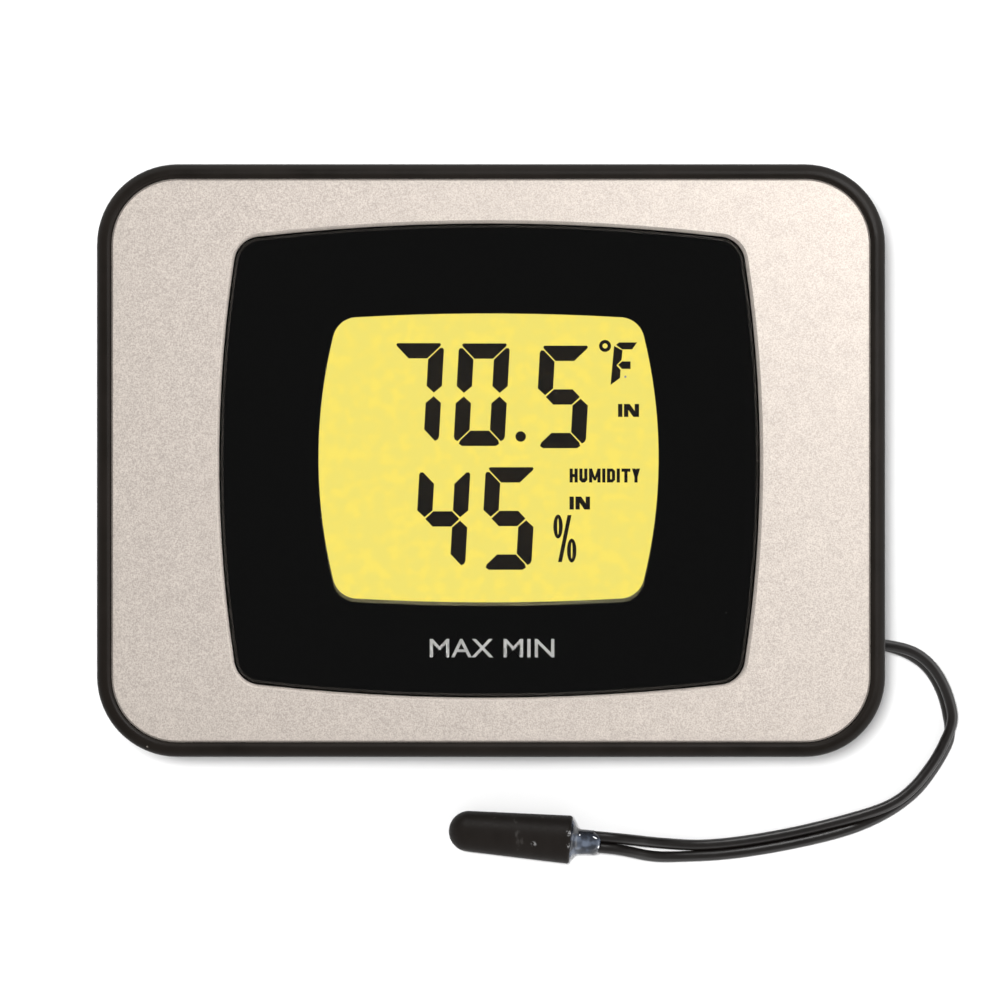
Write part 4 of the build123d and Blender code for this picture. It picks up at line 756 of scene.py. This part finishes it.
# =============================================================================================
# Display: seven-segment digits and the signs round them
# =============================================================================================
def segment_outlines(width, height, stroke):
    """Outlines of segments a to g in a cell whose lower left corner is the origin."""
    gap = DIGIT_GAP
    half = stroke / 2
    middle = height / 2

    def cap(along_edge, along_gap):
        """The top segment, its outer corners cut back and a little rounded."""
        right_half = [
            (width - gap - stroke, height - stroke),
            (width - gap - along_gap, height - along_gap),
            (width - gap - 0.8 * along_gap, height - 0.4 * along_gap),
            (width - gap - along_edge, height),
        ]
        left_half = [(width - x, y) for x, y in right_half[::-1]]
        return left_half + right_half

    def post(along_edge, along_gap):
        """The upper left segment, its outer corner cut back and a little rounded."""
        return [
            (0, height - gap - along_edge),
            (0, middle + half + gap),
            (half, middle + gap + half * DIGIT_POINT),
            (stroke, middle + half + gap),
            (stroke, height - gap - stroke),
            (along_gap, height - gap - along_gap),
            (0.3 * along_gap, height - gap - 0.65 * along_edge),
        ]

    top = cap(*CAP_CUT)
    bottom = cap(*FOOT_CUT)
    upper_left = post(*POST_TOP_CUT)
    lower_left = post(*POST_FOOT_CUT)
    bar = [
        (half + gap, middle),
        (stroke + gap, middle - half),
        (width - stroke - gap, middle - half),
        (width - half - gap, middle),
        (width - stroke - gap, middle + half),
        (stroke + gap, middle + half),
    ]

    def flipped(outline, across, down):
        """The outline mirrored left to right, top to bottom, or both."""
        points = [(width - x if across else x, height - y if down else y) for x, y in outline]
        return points[::-1] if across != down else points

    return {
        "a": top,
        "b": flipped(upper_left, True, False),
        "c": flipped(lower_left, True, True),
        "d": flipped(bottom, False, True),
        "e": flipped(lower_left, False, True),
        "f": upper_left,
        "g": bar,
    }


def add_digit(builder, segments, place):
    """One digit, leaning a little to the right."""
    width, height = DIGIT_SIZE
    lean = math.tan(math.radians(DIGIT_SLANT))
    outlines = segment_outlines(width, height, DIGIT_STROKE)
    for letter in segments:
        points = []
        for x, y in outlines[letter]:
            rise = y - height / 2
            points.append((place[0] + x - width / 2 + rise * lean, place[1] + rise))
        prism(builder, points, INK_Z, INK_THICKNESS)


RING_STEPS = 40
POINT_STEPS = 32


def ellipse(place, half_x, half_y, steps):
    """Points round an ellipse, counter-clockwise."""
    angles = [2 * math.pi * k / steps for k in range(steps)]
    return [(place[0] + half_x * math.cos(a), place[1] + half_y * math.sin(a)) for a in angles]


def add_ring(builder, place, outer, inner):
    """A flat ring between two ellipses, given by their half sizes."""
    far = ellipse(place, *outer, RING_STEPS)
    near = ellipse(place, *inner, RING_STEPS)
    for k in range(RING_STEPS):
        j = (k + 1) % RING_STEPS
        prism(builder, [far[k], far[j], near[j], near[k]], INK_Z, INK_THICKNESS)


def make_digits():
    """The two readings and the decimal point."""
    builder = bmesh.new()
    for segments, place in DIGITS:
        add_digit(builder, segments, place)
    point = ellipse(POINT_PLACE, POINT_RADIUS, POINT_RADIUS, POINT_STEPS)
    prism(builder, point, INK_Z, INK_THICKNESS)
    object_from("digits", finished(builder, "digits"), "case", INK)


def make_signs():
    """The degree F sign and the percent sign."""
    builder = bmesh.new()
    for bar in F_BARS:
        outline = [(F_PLACE[0] + x * MM, F_PLACE[1] + y * MM) for x, y in bar]
        prism(builder, outline, INK_Z, INK_THICKNESS)
    outer, inner = DEGREE_RADII
    add_ring(builder, DEGREE_PLACE, (outer, outer), (inner, inner))
    half_x, half_y = PERCENT_RING_SIZE
    hole = (half_x - PERCENT_STROKE, half_y - PERCENT_STROKE)
    for place in PERCENT_RINGS:
        add_ring(builder, place, PERCENT_RING_SIZE, hole)
    (x1, y1), (x2, y2) = PERCENT_SLASH
    half = PERCENT_STROKE / 2
    slash = [(x1 - half, y1), (x2 - half, y2), (x2 + half, y2), (x1 + half, y1)]
    prism(builder, slash, INK_Z, INK_THICKNESS)
    object_from("signs", finished(builder, "signs"), "case", INK)


def word_mesh(name, word, place, width, height, weight, z, from_behind=False):
    """A thin plate of letters, scaled to a width and height about a middle point."""
    data = bpy.data.curves.new(name, "FONT")
    data.body = word
    data.offset = weight
    data.extrude = 0.01
    data.resolution_u = 6
    carrier = bpy.data.objects.new(name, data)
    bpy.context.scene.collection.objects.link(carrier)
    bpy.context.view_layer.update()
    mesh = bpy.data.meshes.new_from_object(carrier)
    bpy.data.objects.remove(carrier)
    places = [vertex.co for vertex in mesh.vertices]
    low = [min(co[axis] for co in places) for axis in range(3)]
    high = [max(co[axis] for co in places) for axis in range(3)]
    sizes = (width, height, INK_THICKNESS)
    turn = -1 if from_behind else 1
    for vertex in mesh.vertices:
        share = [(vertex.co[axis] - low[axis]) / (high[axis] - low[axis]) for axis in range(3)]
        vertex.co = (
            place[0] + turn * (share[0] - 0.5) * sizes[0],
            place[1] + (share[1] - 0.5) * sizes[1],
            z + share[2] * sizes[2],
        )
    if from_behind:
        mesh.flip_normals()
    mesh.name = name
    return mesh


def letter_outlines(letter, w, h, t):
    """The strokes of a bold capital, w wide and h high with strokes t thick, as polygons."""
    left = [(0, 0), (t, 0), (t, h), (0, h)]
    right = [(w - t, 0), (w, 0), (w, h), (w - t, h)]
    bevel = 0.8 * t
    if letter == "I":
        return [left]
    if letter == "H":
        low, high = (h - t) / 2, (h + t) / 2
        return [left, right, [(0, low), (w, low), (w, high), (0, high)]]
    if letter == "N":
        return [left, right, [(w - 1.3 * t, 0), (w, 0), (1.3 * t, h), (0, h)]]
    if letter == "M":
        dip = 0.15 * h
        down = [(w / 2 - 0.35 * t, dip), (w / 2 + 0.35 * t, dip), (0.95 * t, h), (0, h)]
        up = [(w / 2 - 0.35 * t, dip), (w / 2 + 0.35 * t, dip), (w, h), (w - 0.95 * t, h)]
        return [left, right, down, up]
    if letter == "T":
        return [[(0, h - t), (w, h - t), (w, h), (0, h)], shifted(left, (w - t) / 2, 0)]
    if letter == "Y":
        fork = 0.45 * h
        stem = [((w - t) / 2, 0), ((w + t) / 2, 0), ((w + t) / 2, fork), ((w - t) / 2, fork)]
        arm = [((w - t) / 2, fork * 0.9), ((w + t) / 2, fork * 0.9), (1.15 * t, h), (0, h)]
        other = [((w - t) / 2, fork * 0.9), ((w + t) / 2, fork * 0.9), (w, h), (w - 1.15 * t, h)]
        return [stem, arm, other]
    if letter == "U":
        cup = [(bevel, 0), (w - bevel, 0), (w, bevel), (w, 1.3 * t), (0, 1.3 * t), (0, bevel)]
        return [shifted(left, 0, bevel, h), shifted(right, 0, bevel, h), cup]
    if letter == "D":
        foot = [(0, 0), (w - bevel, 0), (w, bevel), (w, t), (0, t)]
        head = [(0, h - t), (w, h - t), (w, h - bevel), (w - bevel, h), (0, h)]
        side = [(w - t, bevel), (w, bevel), (w, h - bevel), (w - t, h - bevel)]
        return [left, foot, head, side]
    raise ValueError(letter)


def shifted(outline, across, lift, top=None):
    """An outline moved sideways and cut off below a height, and above another if one is given."""
    high = top if top is not None else max(y for x, y in outline)
    return [(x + across, min(high, max(lift, y))) for x, y in outline]


def add_word(builder, word, place, size, stroke):
    """A word in the stroke alphabet. Ordinary letters share what the strokes and spaces leave."""
    shares = [LETTER_WIDTHS.get(letter, 1.0) for letter in word]
    free = size[0] - stroke * len(word) - LETTER_SPACE * (len(word) - 1)
    x = place[0] - size[0] / 2
    for letter, share in zip(word, shares):
        width = stroke + free * share / sum(shares)
        for outline in letter_outlines(letter, width, size[1], stroke):
            moved = [(x + u, place[1] - size[1] / 2 + v) for u, v in outline]
            prism(builder, moved, INK_Z, INK_THICKNESS)
        x += width + LETTER_SPACE


def make_words():
    builder = bmesh.new()
    for word, place, size, stroke in DISPLAY_WORDS:
        add_word(builder, word, place, size, stroke)
    object_from("display_words", finished(builder, "display_words"), "case", INK)
    word, place, width, height, weight = LEGEND
    mesh = word_mesh("legend", word, place, width, height, weight, LEGEND_Z)
    object_from("legend", mesh, "case", PRINT)
    for i, (word, place, width, height, weight) in enumerate(BACK_WORDS):
        mesh = word_mesh(f"back_word_{i + 1}", word, place, width, height, weight, BACK_WORDS_Z, True)
        object_from(mesh.name, mesh, "case", PRINT)
    word, place, width, height, weight = DOOR_WORDS
    mesh = word_mesh("door_word", word, place, width, height, weight, DOOR_WORDS_Z, True)
    object_from("door_word", mesh, "door", PRINT)


make_digits()
make_signs()
make_words()


# =============================================================================================
# Floor, light and surroundings
# =============================================================================================
def make_floor():
    """A plain pale floor that can be looked through, and lit through, from below."""
    builder = bmesh.new()
    z = cad_box[0].z - FLOOR_DROP
    corners = [(-1, -1), (1, -1), (1, 1), (-1, 1)]
    builder.faces.new([builder.verts.new((x * FLOOR_HALF, y * FLOOR_HALF, z)) for x, y in corners])
    mesh = bpy.data.meshes.new("floor")
    builder.to_mesh(mesh)
    builder.free()
    made = bpy.data.materials.new("floor_paper")
    made.use_nodes = True
    tree = made.node_tree
    shader = tree.nodes["Principled BSDF"]
    shader.inputs["Roughness"].default_value = 0.9
    shader.inputs["Specular IOR Level"].default_value = 0.0
    paper = noise_of(made, 30, detail=4.0)
    tree.links.new(
        ramp_of(made, paper, [(0.3, srgb(216, 216, 216)), (0.7, srgb(220, 220, 220))]),
        shader.inputs["Base Color"],
    )
    side = tree.nodes.new("ShaderNodeNewGeometry")
    through = tree.nodes.new("ShaderNodeBsdfTransparent")
    mix = tree.nodes.new("ShaderNodeMixShader")
    path = tree.nodes.new("ShaderNodeLightPath")
    unseen = math_of(made, "MAXIMUM", side.outputs["Backfacing"], path.outputs["Is Shadow Ray"])
    tree.links.new(unseen, mix.inputs["Fac"])
    tree.links.new(shader.outputs["BSDF"], mix.inputs[1])
    tree.links.new(through.outputs["BSDF"], mix.inputs[2])
    tree.links.new(mix.outputs["Shader"], tree.nodes["Material Output"].inputs["Surface"])
    floor = bpy.data.objects.new("floor", mesh)
    mesh.materials.append(made)
    bpy.context.scene.collection.objects.link(floor)


def make_area_light(name, place, size, power, only_reflections):
    """A soft light aimed at the origin, either for reflections alone or for all the rest."""
    data = bpy.data.lights.new(name, "AREA")
    data.shape = "RECTANGLE"
    data.size, data.size_y = size
    data.energy = power
    light = bpy.data.objects.new(name, data)
    light.location = place
    aim = Vector((0, 0, 0)) - Vector(place)
    light.rotation_euler = aim.to_track_quat("-Z", "Y").to_euler()
    light.visible_glossy = only_reflections
    light.visible_transmission = only_reflections
    light.visible_diffuse = not only_reflections
    bpy.context.scene.collection.objects.link(light)
    return light


def light_only(light, names):
    """Lets a light reach only some of the pieces, and returns the group they're in."""
    group = bpy.data.collections.new(light.name + "_reaches")
    for name in names:
        group.objects.link(bpy.data.objects[name])
    light.light_linking.receiver_collection = group
    return group


def make_sky():
    """Even soft light from all round; reflections see less of it, and a dark patch overhead."""
    world = bpy.data.worlds.new("studio")
    world.use_nodes = True
    tree = world.node_tree
    background = tree.nodes["Background"]
    place = tree.nodes.new("ShaderNodeTexCoord")
    split = tree.nodes.new("ShaderNodeSeparateXYZ")
    tree.links.new(place.outputs["Generated"], split.inputs["Vector"])
    facing = tree.nodes.new("ShaderNodeVectorMath")
    facing.operation = "DOT_PRODUCT"
    facing.inputs[1].default_value = SKY_GLOW_TOWARDS
    tree.links.new(place.outputs["Generated"], facing.inputs[0])
    rise = split.outputs["Z"]

    cone = [math.cos(math.radians(angle)) for angle in SKY_DARK_CONE]
    plain = eased_of(world, rise, cone, (SKY_IN_REFLECTIONS, SKY_OVERHEAD))
    sideways = eased_of(world, facing.outputs["Value"], SKY_GLOW_TURN, (0.0, SKY_GLOW))
    low_down = eased_of(world, rise, SKY_GLOW_RISE)
    mirrored = math_of(world, "ADD", math_of(world, "MULTIPLY", sideways, low_down), plain)

    path = tree.nodes.new("ShaderNodeLightPath")
    rays = (path.outputs["Is Glossy Ray"], path.outputs["Is Transmission Ray"])
    strength = tree.nodes.new("ShaderNodeMix")
    strength.inputs["A"].default_value = SKY_STRENGTH
    tree.links.new(math_of(world, "MAXIMUM", *rays), strength.inputs["Factor"])
    tree.links.new(mirrored, strength.inputs["B"])
    tree.links.new(strength.outputs["Result"], background.inputs["Strength"])
    background.inputs["Color"].default_value = (1.0, 1.0, 1.0, 1.0)
    bpy.context.scene.world = world


make_floor()
make_area_light("key_light", KEY_PLACE, KEY_SIZE, KEY_POWER, False)
side_light = make_area_light("side_light", SIDE_PLACE, SIDE_SIZE, SIDE_POWER, True)
light_only(side_light, SIDE_PIECES)
gloss_light = make_area_light("gloss_light", GLOSS_PLACE, GLOSS_SIZE, GLOSS_POWER, True)
gloss_group = light_only(gloss_light, GLOSS_PIECES)
gloss_light.light_linking.blocker_collection = gloss_group
make_area_light("back_light", BACK_PLACE, BACK_SIZE, BACK_POWER, False)
make_sky()
bpy.context.scene.view_settings.view_transform = "Standard"
